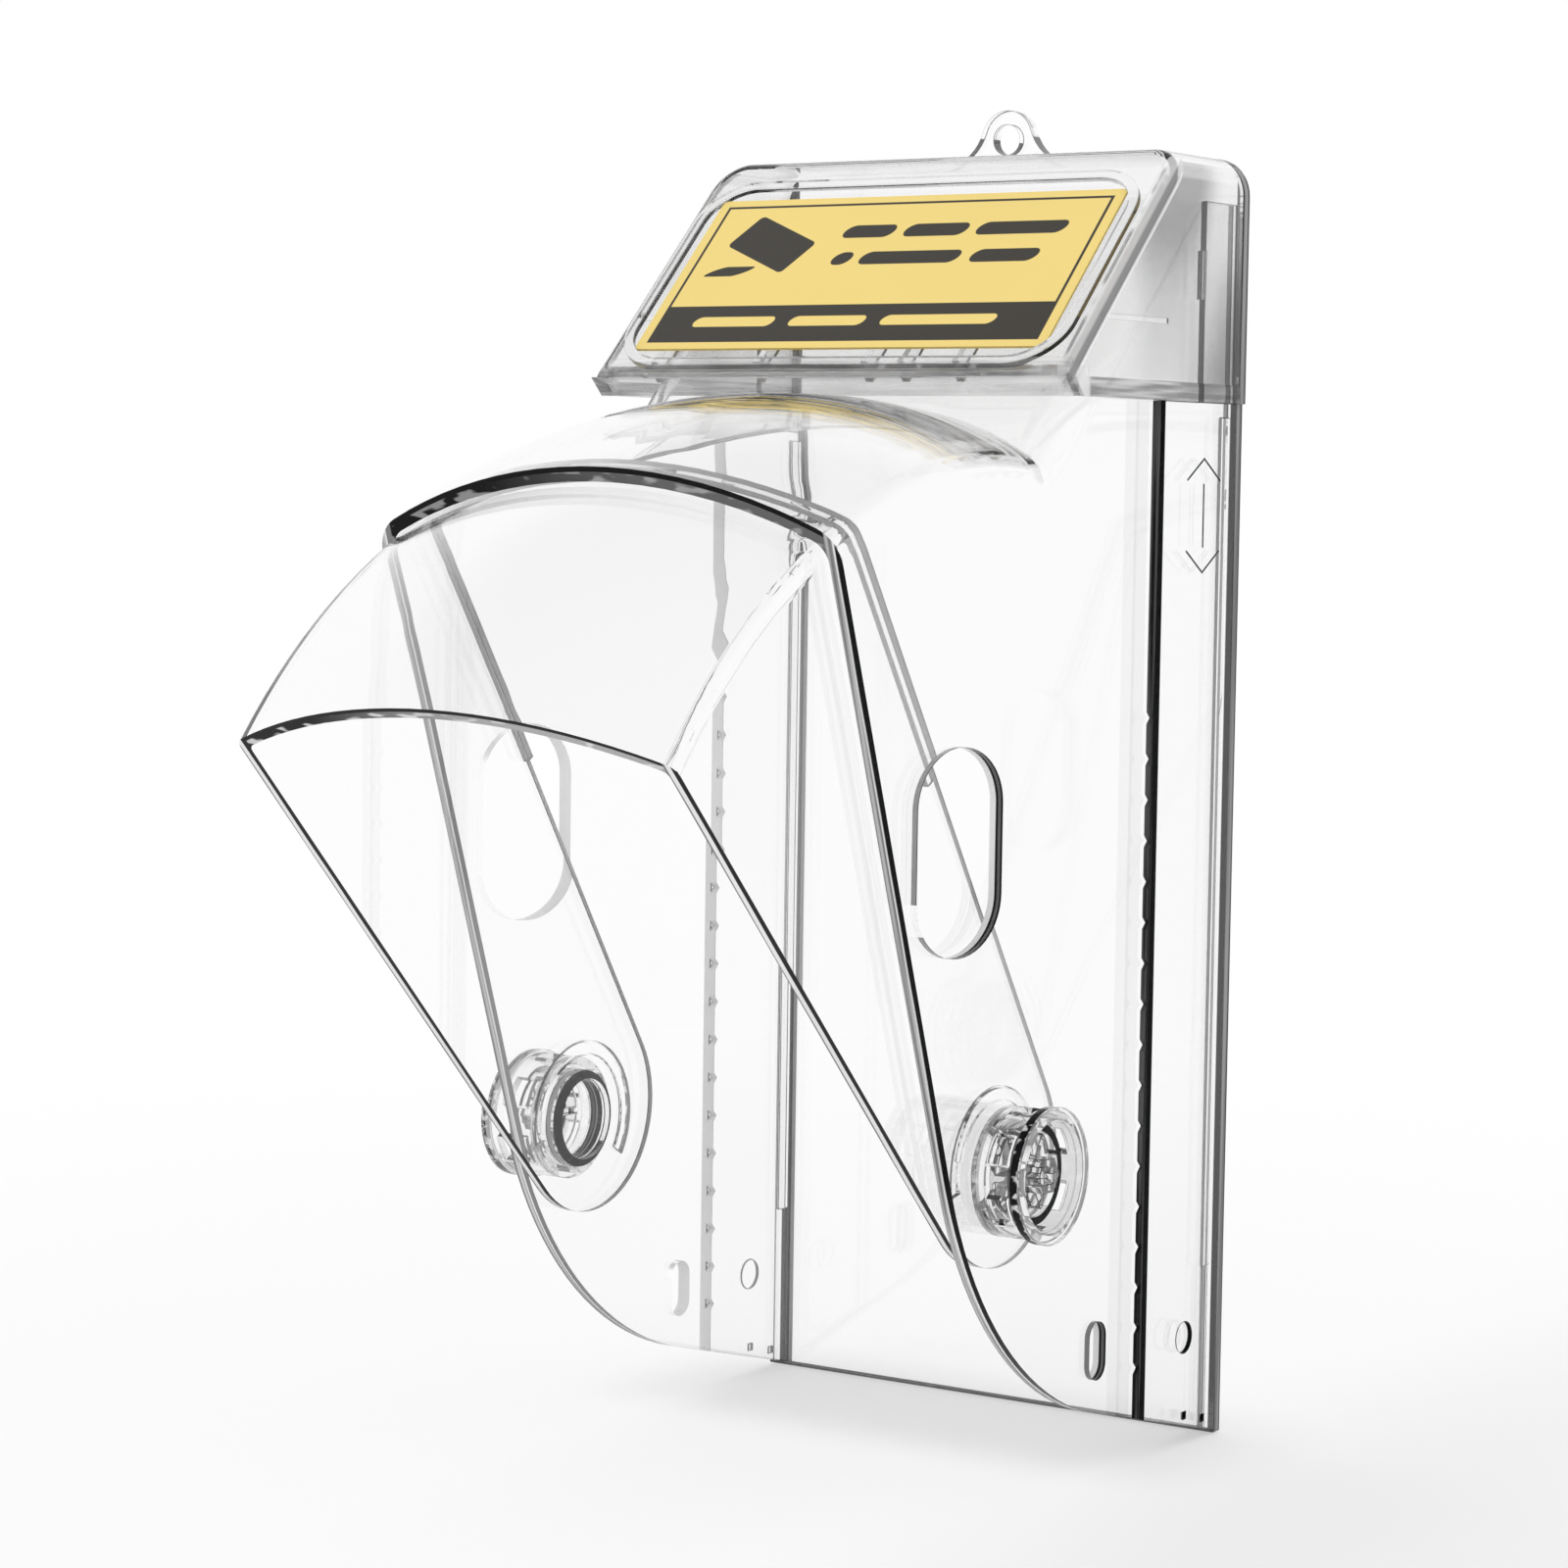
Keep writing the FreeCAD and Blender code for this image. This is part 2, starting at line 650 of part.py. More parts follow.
def on_face_rim(edge):
    """Tell whether an edge bounds the cap's sloping face at its top, sides or foot."""
    mid = edge.CenterOfMass
    foot_y, foot_z = sign_foot()
    on_slope = foot_z + (mid.y - foot_y) * math.tan(math.radians(sign_angle))
    return abs(on_slope - mid.z) < cap_wall / 4 and mid.z > cap_bottom + sign_chin / 2


def sign_frame():
    """Return the raised frame round the card, laid on the sign face."""
    frame = rounded_plate(frame_width, frame_height, frame_corner, frame_proud + root)
    opening = rounded_plate(frame_width - 2 * frame_bead, frame_height - 2 * frame_bead,
                            frame_corner - frame_bead, frame_proud + root)
    frame = frame.cut(opening)
    frame.translate(Vector(0, 0, -root))
    return on_sign(frame)


def spacer_ribs():
    """Return the short ribs inside the cap that stiffen the foot of its sloping wall."""
    low = -frame_height / 2 + frame_bead
    ribs = []
    for place in spacer_places:
        rib = box((place - spacer_width / 2, low, -cap_wall - spacer_depth),
                  (place + spacer_width / 2, low + spacer_length, -cap_wall + root))
        ribs.append(on_sign(rib))
    return ribs


def side_rib():
    """Return the level rib inside the cap's right-hand wall."""
    height = cap_bottom + side_rib_height
    start = sign_foot()[0] + (height - sign_foot()[1]) / math.tan(math.radians(sign_angle)) + side_rib_inset
    inner = half_cap - cap_wall
    return box((inner - side_rib_width, start, height),
               (inner + root, start + side_rib_length, height + side_rib_width))


def snap_bar():
    """Return the upright bar inside the right-hand wall that catches in front of the tray's cheek."""
    inner = half_cap - cap_wall
    edge = -cheek_depth - slide_clearance
    low = cap_bottom + snap_bar_rise
    return box((inner - snap_bar_height, edge - snap_bar_width, low),
               (inner + root, edge, low + snap_bar_length))


def rim_band():
    """Return the block of the band that stands proud of the cap round its open lower edge."""
    width = half_cap + rim_band_proud + past
    band = box((-width, -sign_reach - past, cap_bottom), (width, 0, cap_bottom + rim_band_height))
    return cap_block(-rim_band_proud, 0.0).common(band)


def make_cap():
    """Build the sign cap: a clear wedge shell with a rim band, a raised frame and inner ribs."""
    outer = cap_block(0.0, 0.0)
    outer = outer.makeFillet(cap_edge_radius, [e for e in outer.Edges if on_face_rim(e)])
    shell = outer.fuse(rim_band()).cut(cap_block(cap_wall, past))
    ribs = spacer_ribs() + both_sides(side_rib()) + both_sides(snap_bar())
    return shell.fuse([sign_frame()] + ribs).removeSplitter()


def make_card():
    """Build the printed card that lies on the sign face inside the frame."""
    return on_sign(rounded_plate(card_width, card_height, card_corner, card_thickness))


def export(name, shape):
    """Write one piece, lowered so that the back face's centre is the origin."""
    piece = shape.copy()
    piece.translate(Vector(0, 0, -tray_height / 2))
    solids = piece.Solids
    if len(solids) == 1:
        piece = solids[0]
    piece.exportStep("parts/" + name + ".step")
    print(name, "solids", len(solids), "valid", piece.isValid(), "cm3", round(piece.Volume / 1000, 2))


def main():
    """Build and write every piece."""
    os.makedirs("parts", exist_ok=True)
    knob = make_knob()
    core = make_core()
    pieces = {
        "back_tray": make_tray(),
        "hood": make_hood(),
        "visor": make_visor(),
        "knob_right": knob,
        "knob_left": mirrored(knob),
        "hub_core_right": core,
        "hub_core_left": mirrored(core),
        "sign_cap": make_cap(),
        "sign_card": make_card(),
    }
    for name, shape in pieces.items():
        export(name, shape)


main()
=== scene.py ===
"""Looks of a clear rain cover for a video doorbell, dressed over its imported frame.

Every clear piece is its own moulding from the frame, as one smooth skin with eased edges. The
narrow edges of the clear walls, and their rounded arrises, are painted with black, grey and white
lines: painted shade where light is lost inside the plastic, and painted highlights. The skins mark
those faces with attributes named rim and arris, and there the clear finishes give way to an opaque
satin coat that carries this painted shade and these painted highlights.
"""
import logging
import math
from dataclasses import dataclass, field
from enum import Enum
from typing import Protocol

import bmesh
import bpy
import numpy as np
from mathutils import Matrix, Vector
from mathutils.bvhtree import BVHTree


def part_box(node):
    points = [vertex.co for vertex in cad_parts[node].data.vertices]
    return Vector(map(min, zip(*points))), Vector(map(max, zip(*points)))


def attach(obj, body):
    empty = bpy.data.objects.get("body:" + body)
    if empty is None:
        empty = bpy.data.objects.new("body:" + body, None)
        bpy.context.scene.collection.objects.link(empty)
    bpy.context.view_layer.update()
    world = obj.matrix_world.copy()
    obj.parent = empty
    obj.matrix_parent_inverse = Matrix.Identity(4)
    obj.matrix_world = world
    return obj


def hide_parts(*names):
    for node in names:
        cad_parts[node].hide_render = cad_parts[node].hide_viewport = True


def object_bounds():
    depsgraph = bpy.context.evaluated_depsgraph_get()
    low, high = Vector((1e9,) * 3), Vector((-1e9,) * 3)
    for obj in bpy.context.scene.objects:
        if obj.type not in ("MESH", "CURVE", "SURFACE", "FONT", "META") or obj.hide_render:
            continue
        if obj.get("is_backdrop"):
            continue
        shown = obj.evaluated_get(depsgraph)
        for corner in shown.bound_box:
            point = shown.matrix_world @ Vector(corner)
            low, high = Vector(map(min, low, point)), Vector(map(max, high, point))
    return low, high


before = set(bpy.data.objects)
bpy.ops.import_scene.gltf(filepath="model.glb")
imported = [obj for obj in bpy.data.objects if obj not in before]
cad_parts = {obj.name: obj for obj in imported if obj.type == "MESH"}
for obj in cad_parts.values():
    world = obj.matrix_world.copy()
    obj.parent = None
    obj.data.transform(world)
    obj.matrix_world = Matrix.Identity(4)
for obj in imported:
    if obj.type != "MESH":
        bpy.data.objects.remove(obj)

MM = 0.001
RIM = "rim"
ARRIS = "arris"
PIVOT = (-64.5, -50.0)
FLAT_ANGLE = math.radians(0.3)
SHARP_ANGLE = math.radians(32.0)
RIM_NEAR = 3.3 * MM
RIM_FAR = 4.6 * MM
RIM_LEAST = 0.6
BACK_SHARE = 0.5
BACK_LEAST = 0.2
SOME_RIM = (0.1, 0.4)
FRONT_RIM = (0.6, 0.9)
START_GAP = 0.01 * MM
MERGE_GAP = 1e-6
TINY_AREA = 1e-18
SLOPE = math.sqrt(0.5)
SOFT = 0.1

Step = tuple[float, float]

log = logging.getLogger("rain_cover")


class Body(Enum):
    """The frame's moving bodies, by name."""

    TRAY = "tray"
    HOOD = "hood"
    VISOR = "visor"


class Slot(Enum):
    """The record's material slots, by name. Pieces are handed one, which the script does not read.
    """

    TRAY = "clear_tray"
    HOOD = "clear_hood"
    VISOR = "clear_visor"
    KNOB = "clear_knob"
    CAP = "clear_cap"


class Signal:
    """A number socket that adds Math nodes when it is used in an expression."""

    def __init__(self, sheet: "NodeSheet", socket: bpy.types.NodeSocket) -> None:
        """Wrap a socket.

        Args:
            sheet: The node sheet that the socket belongs to.
            socket: An output socket that carries one number.
        """
        self.sheet = sheet
        self.socket = socket

    def __add__(self, other: "Signal | float") -> "Signal":
        """Return the sum."""
        return self.sheet.maths("ADD", self, other)

    __radd__ = __add__

    def __sub__(self, other: "Signal | float") -> "Signal":
        """Return the difference."""
        return self.sheet.maths("SUBTRACT", self, other)

    def __rsub__(self, other: float) -> "Signal":
        """Return the difference from a number."""
        return self.sheet.maths("SUBTRACT", other, self)

    def __mul__(self, other: "Signal | float") -> "Signal":
        """Return the product."""
        return self.sheet.maths("MULTIPLY", self, other)

    __rmul__ = __mul__

    def __truediv__(self, other: "Signal | float") -> "Signal":
        """Return the quotient."""
        return self.sheet.maths("DIVIDE", self, other)

    def __abs__(self) -> "Signal":
        """Return the size without its sign."""
        return self.sheet.maths("ABSOLUTE", self)

    def __pow__(self, other: float) -> "Signal":
        """Return the power."""
        return self.sheet.maths("POWER", self, other)

    def most(self, other: "Signal | float") -> "Signal":
        """Return the larger of two values."""
        return self.sheet.maths("MAXIMUM", self, other)

    def least(self, other: "Signal | float") -> "Signal":
        """Return the smaller of two values."""
        return self.sheet.maths("MINIMUM", self, other)

    def rise(self, low: float, high: float) -> "Signal":
        """Return a smooth step.

        Args:
            low: The value at which the step is 0.
            high: The value at which the step is 1.

        Returns:
            0 before low, 1 past high, and an S-curve between them.
        """
        node = self.sheet.node("ShaderNodeMapRange", {"interpolation_type": "SMOOTHSTEP"},
                               {"Value": self, "From Min": low, "From Max": high})
        return Signal(self.sheet, node.outputs["Result"])

    def past(self, place: float, soft: float = SOFT) -> "Signal":
        """Return 1 past a place and 0 before it, with a smooth step that reaches soft each way."""
        return self.rise(place - soft, place + soft)

    def strip(self, start: Step, end: Step) -> "Signal":
        """Return 1 on a strip, with a smooth step up over its start and down over its end."""
        return self.rise(*start) * (1.0 - self.rise(*end))


class NodeSheet:
    """The nodes of one material or world."""

    def __init__(self, owner: "bpy.types.Material | bpy.types.World") -> None:
        """Clear the owner's nodes and keep its tree.

        Args:
            owner: The material or world whose nodes are built.
        """
        owner.use_nodes = True
        self.owner = owner
        self.tree = owner.node_tree
        self.tree.nodes.clear()

    def node(self, kind: str, settings: dict, inputs: dict) -> bpy.types.Node:
        """Add a node.

        Args:
            kind: The node's type name.
            settings: The node's own properties, set before its sockets.
            inputs: Values, signals or sockets for its inputs, by name or number.

        Returns:
            The new node.
        """
        node = self.tree.nodes.new(kind)
        for name, value in settings.items():
            setattr(node, name, value)
        for name, value in inputs.items():
            if isinstance(value, Signal):
                value = value.socket
            if isinstance(value, bpy.types.NodeSocket):
                self.tree.links.new(value, node.inputs[name])
            else:
                node.inputs[name].default_value = value
        return node

    def maths(self, operation: str, *values: "Signal | float") -> Signal:
        """Return the result of a Math node on signals and numbers."""
        node = self.node("ShaderNodeMath", {"operation": operation}, dict(enumerate(values)))
        return Signal(self, node.outputs[0])

    def place(self) -> tuple[Signal, Signal, Signal]:
        """Return the object coordinates x, y and z in millimetres."""
        source = self.node("ShaderNodeTexCoord", {}, {})
        split = self.node("ShaderNodeSeparateXYZ", {}, {0: source.outputs["Object"]})
        x, y, z = (Signal(self, out) / MM for out in split.outputs)
        return x, y, z

    def noise(self, scale: float, stretch: tuple[float, float, float] = (1.0, 1.0, 1.0),
              detail: float = 2.0) -> Signal:
        """Return a noise value about 0.5.

        Args:
            scale: Patches per metre.
            stretch: How much closer the patches lie along x, y and z.
            detail: Octaves of finer noise.

        Returns:
            The noise as a signal.
        """
        source = self.node("ShaderNodeTexCoord", {}, {})
        spread = self.node("ShaderNodeMapping", {},
                           {"Vector": source.outputs["Object"], "Scale": stretch})
        node = self.node("ShaderNodeTexNoise", {},
                         {"Vector": spread.outputs[0], "Scale": scale, "Detail": detail})
        return Signal(self, node.outputs[0])

    def attribute(self, name: str) -> Signal:
        """Return the value that the mesh stores under a name."""
        node = self.node("ShaderNodeAttribute", {"attribute_name": name}, {})
        return Signal(self, node.outputs["Fac"])

    def blend(self, share: Signal, first: "tuple | bpy.types.NodeSocket",
              second: "tuple | bpy.types.NodeSocket") -> bpy.types.NodeSocket:
        """Mix two colours.

        Args:
            share: How much of the second colour shows, from 0 to 1.
            first: The colour at 0.
            second: The colour at 1.

        Returns:
            The mixed colour's socket.
        """
        node = self.node("ShaderNodeMix", {"data_type": "RGBA"},
                         {"Factor": share, "A": first, "B": second})
        return node.outputs["Result"]

    def bump(self, height: Signal, depth: float, strength: float) -> bpy.types.NodeSocket:
        """Return the normal of a surface raised by a height signal.

        Args:
            height: The relief, from 0 to 1.
            depth: How high a value of 1 stands, in metres.
            strength: How much of the relief shows.

        Returns:
            The normal's socket.
        """
        node = self.node("ShaderNodeBump", {},
                         {"Height": height, "Distance": depth, "Strength": strength})
        return node.outputs[0]

    def close(self, surface: bpy.types.NodeSocket,
              volume: bpy.types.NodeSocket | None = None) -> None:
        """Join the surface, and the inside if there is one, to the output."""
        links = {"Surface": surface}
        if volume is not None:
            links["Volume"] = volume
        is_world = isinstance(self.owner, bpy.types.World)
        self.node("ShaderNodeOutputWorld" if is_world else "ShaderNodeOutputMaterial", {}, links)


def colour(red: float, green: float, blue: float) -> tuple[float, float, float, float]:
    """Return an opaque colour in linear light."""
    return red, green, blue, 1.0


@dataclass(frozen=True)
class Grain:
    """A pattern of soft-edged patches: 0 where its noise is under low, and 1 over high."""

    scale: float
    low: float
    high: float
    stretch: tuple[float, float, float] = (1.0, 1.0, 1.0)
    detail: float = 0.0

    def on(self, sheet: NodeSheet) -> Signal:
        """Return the pattern as a signal."""
        return sheet.noise(self.scale, self.stretch, self.detail).rise(self.low, self.high)


class Shade(Protocol):
    """Where a clear piece shows an opaque coat of painted shade and painted highlights at a cut
    edge, in place of its clear body.
    """

    def marks(self, sheet: NodeSheet) -> tuple[Signal, Signal]:
        """Return how much of the surface is the painted coat, and how dark its painted shade is,
        from 0 to 1.
        """


def from_pivot(y: Signal, z: Signal) -> Signal:
    """Return the distance from the visor's turning line, in millimetres."""
    return ((y - PIVOT[0]) ** 2.0 + (z - PIVOT[1]) ** 2.0) ** 0.5


def on_right(x: Signal) -> Signal:
    """Return 1 on the cover's right half, as seen from the front, and 0 on its left half."""
    return x.past(0.0, 1.0)


@dataclass(frozen=True)
class WallRims:
    """The painted shade on the cut edges of a bent or channel-shaped wall. Lengths are millimetres.

    Across a side wall's edge are painted a thin line, a streaked grey, a clear line and a black
    band, read from the left to the right of the picture: painted shade where light is lost inside
    the plastic. A roof's edge is painted black on top and mottled below, more so on the left. An
    edge that looks back shows a thin painted line at its outer side. A cutout is its middle and
    half sizes, seen from the side, and how grey its back edge is.
    """

    inner: float
    wall: float
    crown: float = 0.0
    arch: float = 84.0
    wander: float = 0.22
    wander_scale: float = 45.0
    wander_stretch: tuple[float, float, float] = (0.1, 1.0, 1.0)
    line_end: Step = (0.1, 0.16)
    line_dark: float = 0.4
    mid_dark: float = 0.25
    streak: float = 0.5
    streaks: Grain = Grain(200.0, 0.3, 0.7, (9.0, 0.14, 0.14))
    clear_start: Step = (0.42, 0.5)
    clear_line: float = 1.0
    band_start: float = 0.56
    band_soft: float = 0.08
    band_dark: float = 0.97
    band_left: float = 0.97
    roof_dark: float = 0.97
    roof_right: float = 0.35
    roof_fade: Step = (-24.0, 14.0)
    roof_top: Step = (0.5, 0.66)
    mottle_share: float = 0.7
    mottle: Grain = Grain(700.0, 0.5, 0.62, (0.35, 1.0, 1.0), 1.0)
    side_start: Step = (-0.15, 0.0)
    left_start: float = -35.0
    plain_dark: float = 0.75
    arris_dark: float = 0.7
    arris_left: float = 0.8
    back_start: Step = (0.72, 0.8)
    back_dark: float = 0.85
    roof_back_dark: float = 0.15
    cutout_soft: float = 0.15
    cutout_front: Step = (0.42, 0.48)
    cutout_middle: tuple[Step, Step] = ((0.6, 0.66), (0.82, 0.88))
    cutout_grey: float = 0.15
    cutout_back: Step = (0.76, 0.84)
    cutouts: tuple[tuple[float, float, float, float, float], ...] = ()
    cutout_left: float = 0.02

    def side_edge(self, sheet: NodeSheet, x: Signal) -> Signal:
        """Return the painted shade across a side wall's edge, read from its left to its right."""
        right = on_right(x)
        outwards = (abs(x) - self.inner) / self.wall
        wander = (sheet.noise(self.wander_scale, self.wander_stretch, 1.0) - 0.5) * self.wander
        across = right * outwards + (1.0 - right) * (1.0 - outwards) + wander
        band = across.rise(self.band_start, self.band_start + self.band_soft)
        band = band * (self.band_left + (self.band_dark - self.band_left) * right)
        clear = across.rise(*self.clear_start) * self.clear_line
        grey = (self.mid_dark + self.streak * self.streaks.on(sheet)) * (1.0 - clear)
        line = (1.0 - across.rise(*self.line_end)) * self.line_dark
        return line.most(band).most(grey)

    def roof_edge(self, sheet: NodeSheet, x: Signal, y: Signal, z: Signal) -> Signal:
        """Return the painted shade on a roof's edge.

        The arched roof stands at the crown less the arch's fall, which is the arch's radius less
        the root of its square minus x squared.
        """
        roof = (self.arch ** 2 - x * x) ** 0.5 + (self.crown - self.arch)
        up = 1.0 - (roof - from_pivot(y, z)) / self.wall
        left = 1.0 - x.rise(*self.roof_fade)
        below = self.roof_right + (self.roof_dark - self.roof_right) * left
        below = below * (1.0 - self.mottle_share * self.mottle.on(sheet))
        return (up.rise(*self.roof_top) * self.roof_dark).most(below)

    def cutout_edges(self, outwards: Signal, y: Signal, z: Signal) -> tuple[Signal, Signal, Signal]:
        """Return where a cutout is, and how dark the painted shade on its front and back edges is.

        A front edge is painted with two black lines with grey between them in its outer half. A
        back edge has its own painted grey and a thin outer line.
        """
        within = y * 0.0
        back = y * 0.0
        for middle_y, middle_z, half_y, half_z, grey in self.cutouts:
            outside = (abs(y - middle_y) - half_y).most(abs(z - middle_z) - half_z)
            here = 1.0 - outside.rise(0.0, self.cutout_soft)
            within = within.most(here)
            back = back.most(here * grey)
        front = self.band_dark - self.cutout_grey * outwards.strip(*self.cutout_middle)
        front = outwards.rise(*self.cutout_front) * front
        return within, front, back.most(outwards.rise(*self.cutout_back) * self.back_dark)

    def marks(self, sheet: NodeSheet) -> tuple[Signal, Signal]:
        """Return how much of the surface is the painted coat, and how dark its painted shade is,
        from 0 to 1.
        """
        x, y, z = sheet.place()
        outwards = (abs(x) - self.inner) / self.wall
        on_side = outwards.rise(*self.side_start)
        # On the left of the picture the cutouts and arrises get lighter painted shade.
        left = 1.0 - x.past(self.left_start, 1.0)
        rim = sheet.attribute(RIM)
        looks_front = rim.rise(*FRONT_RIM)
        front = self.side_edge(sheet, x)
        back = outwards.rise(*self.back_start) * self.back_dark
        roof = self.roof_edge(sheet, x, y, z) if self.crown else rim * self.plain_dark
        fade, kept = 1.0, 1.0
        if self.cutouts:
            within, cut_front, cut_back = self.cutout_edges(outwards, y, z)
            front = front + (cut_front - front) * within
            back = back + (cut_back - back) * within
            fade = 1.0 - within * left * (1.0 - self.cutout_left)
            kept = 1.0 - within * left * (1.0 - looks_front)
        side = looks_front * front + (1.0 - looks_front) * back
        roof = looks_front * roof + (1.0 - looks_front) * self.roof_back_dark
        arris = sheet.attribute(ARRIS) * (self.arris_dark * (1.0 - (1.0 - self.arris_left) * left))
        dark = (on_side * side + (1.0 - on_side) * roof).most(arris) * fade
        return rim.rise(*SOME_RIM).most(arris) * kept, dark


@dataclass(frozen=True)
class TrayShade:
    """Painted shade on the tray's cut edges, its two corner columns and its foot. Lengths are
    millimetres.

    The left flange's front edge is painted pale, a painted highlight in place of its shade.
    """

    rims: WallRims
    column_right: float = 0.8
    column_left: float = 0.84
    column_soft: float = 0.15
    column_line: float = 0.2
    column_border: Step = (0.2, 0.42)
    column_streak: float = 0.14
    streaks: Grain = Grain(300.0, 0.35, 0.65, (3.0, 3.0, 0.06))
    foot: float = -99.6
    foot_cover: float = 0.9
    foot_dark: float = 0.75
    painted_light_front: float = -23.6
    painted_light_dark: float = 0.03

    def marks(self, sheet: NodeSheet) -> tuple[Signal, Signal]:
        """Return how much of the surface is the painted coat, and how dark its painted shade is,
        from 0 to 1.

        A column is the corner square between the flange and the back plate, painted as shade that
        is darkest at both borders.
        """
        x, y, z = sheet.place()
        right = on_right(x)
        wall = self.rims.wall
        into = (abs(x) - self.rims.inner).least(y + wall)
        # Painted shade in the corner columns.
        column = into.rise(0.0, self.column_soft)
        borders = abs(into / wall - 0.5).rise(*self.column_border)
        amount = self.column_left + (self.column_right - self.column_left) * right
        amount = amount + self.column_line * borders
        amount = amount - self.column_streak * self.streaks.on(sheet)
        # A painted dark line along the tray's foot, as painted shade.
        foot = 1.0 - z.past(self.foot)
        # Painted light: the left flange's front edge is whitened.
        painted_light = (1.0 - y.past(self.painted_light_front)) * (1.0 - right)
        cover, dark = self.rims.marks(sheet)
        dark = dark * (1.0 - column) + column * amount
        dark = (dark * (1.0 - painted_light) + self.painted_light_dark * painted_light).most(foot * self.foot_dark)
        return cover.most(column).most(foot * self.foot_cover), dark


@dataclass(frozen=True)
class KnobShade:
    """The knob's painted shade and light: a black band, a pale end ring, a dark base ring and a
    grey inner wall.

    Lengths are millimetres, and the bands are distances from the cover's middle plane.
    """

    end_band: tuple[float, float] = (46.6, 47.9)
    base_end: float = 41.4
    front_soft: tuple[float, float] = (2.0, 1.0)
    outer: float = 9.3
    wall: float = 8.3
    base_dark: float = 0.6
    ring_cover: float = 0.18
    inside_cover: float = 0.3
    inside_dark: float = 0.62
    inside_start: Step = (43.0, 44.0)
    inside_end: Step = (0.05, 0.25)
    speck_share: float = 0.8
    specks: Grain = Grain(700.0, 0.56, 0.68, detail=1.0)
    arris_dark: float = 0.85
    left_share: float = 0.6

    def marks(self, sheet: NodeSheet) -> tuple[Signal, Signal]:
        """Return how much of the surface is the painted coat, and how dark its painted shade is,
        from 0 to 1.
        """
        x, y, z = sheet.place()
        out = from_pivot(y, z)
        away = abs(x)
        # Only the knob's front half takes the painted shade of the band, the base ring and the
        # inner wall.
        front = 1.0 - y.rise(PIVOT[0] - self.front_soft[0], PIVOT[0] + self.front_soft[1])
        outside = out.rise(self.outer, self.outer + SOFT)
        start, end = self.end_band
        band = outside * away.rise(start, start + SOFT)
        band = band * (1.0 - away.rise(end - SOFT / 2, end)) * front
        base = outside * (1.0 - away.rise(self.base_end - 2 * SOFT, self.base_end))
        base = base * front * self.base_dark
        ring = away.rise(end, end + SOFT / 2) * out.rise(self.wall - SOFT, self.wall)
        inside = (1.0 - abs(out - self.wall).rise(*self.inside_end)) * away.rise(*self.inside_start)
        arris = sheet.attribute(ARRIS) * self.arris_dark
        grey = inside * self.inside_cover * (1.0 - front)
        cover = band.most(base).most(ring * self.ring_cover).most(grey)
        dark = band.most(base).most(inside * self.inside_dark)
        dark = dark * (1.0 - self.speck_share * self.specks.on(sheet))
        # The painted shade and light are fainter on the left knob.
        share = self.left_share + (1.0 - self.left_share) * on_right(x)
        return cover.most(arris) * share, dark.most(arris)


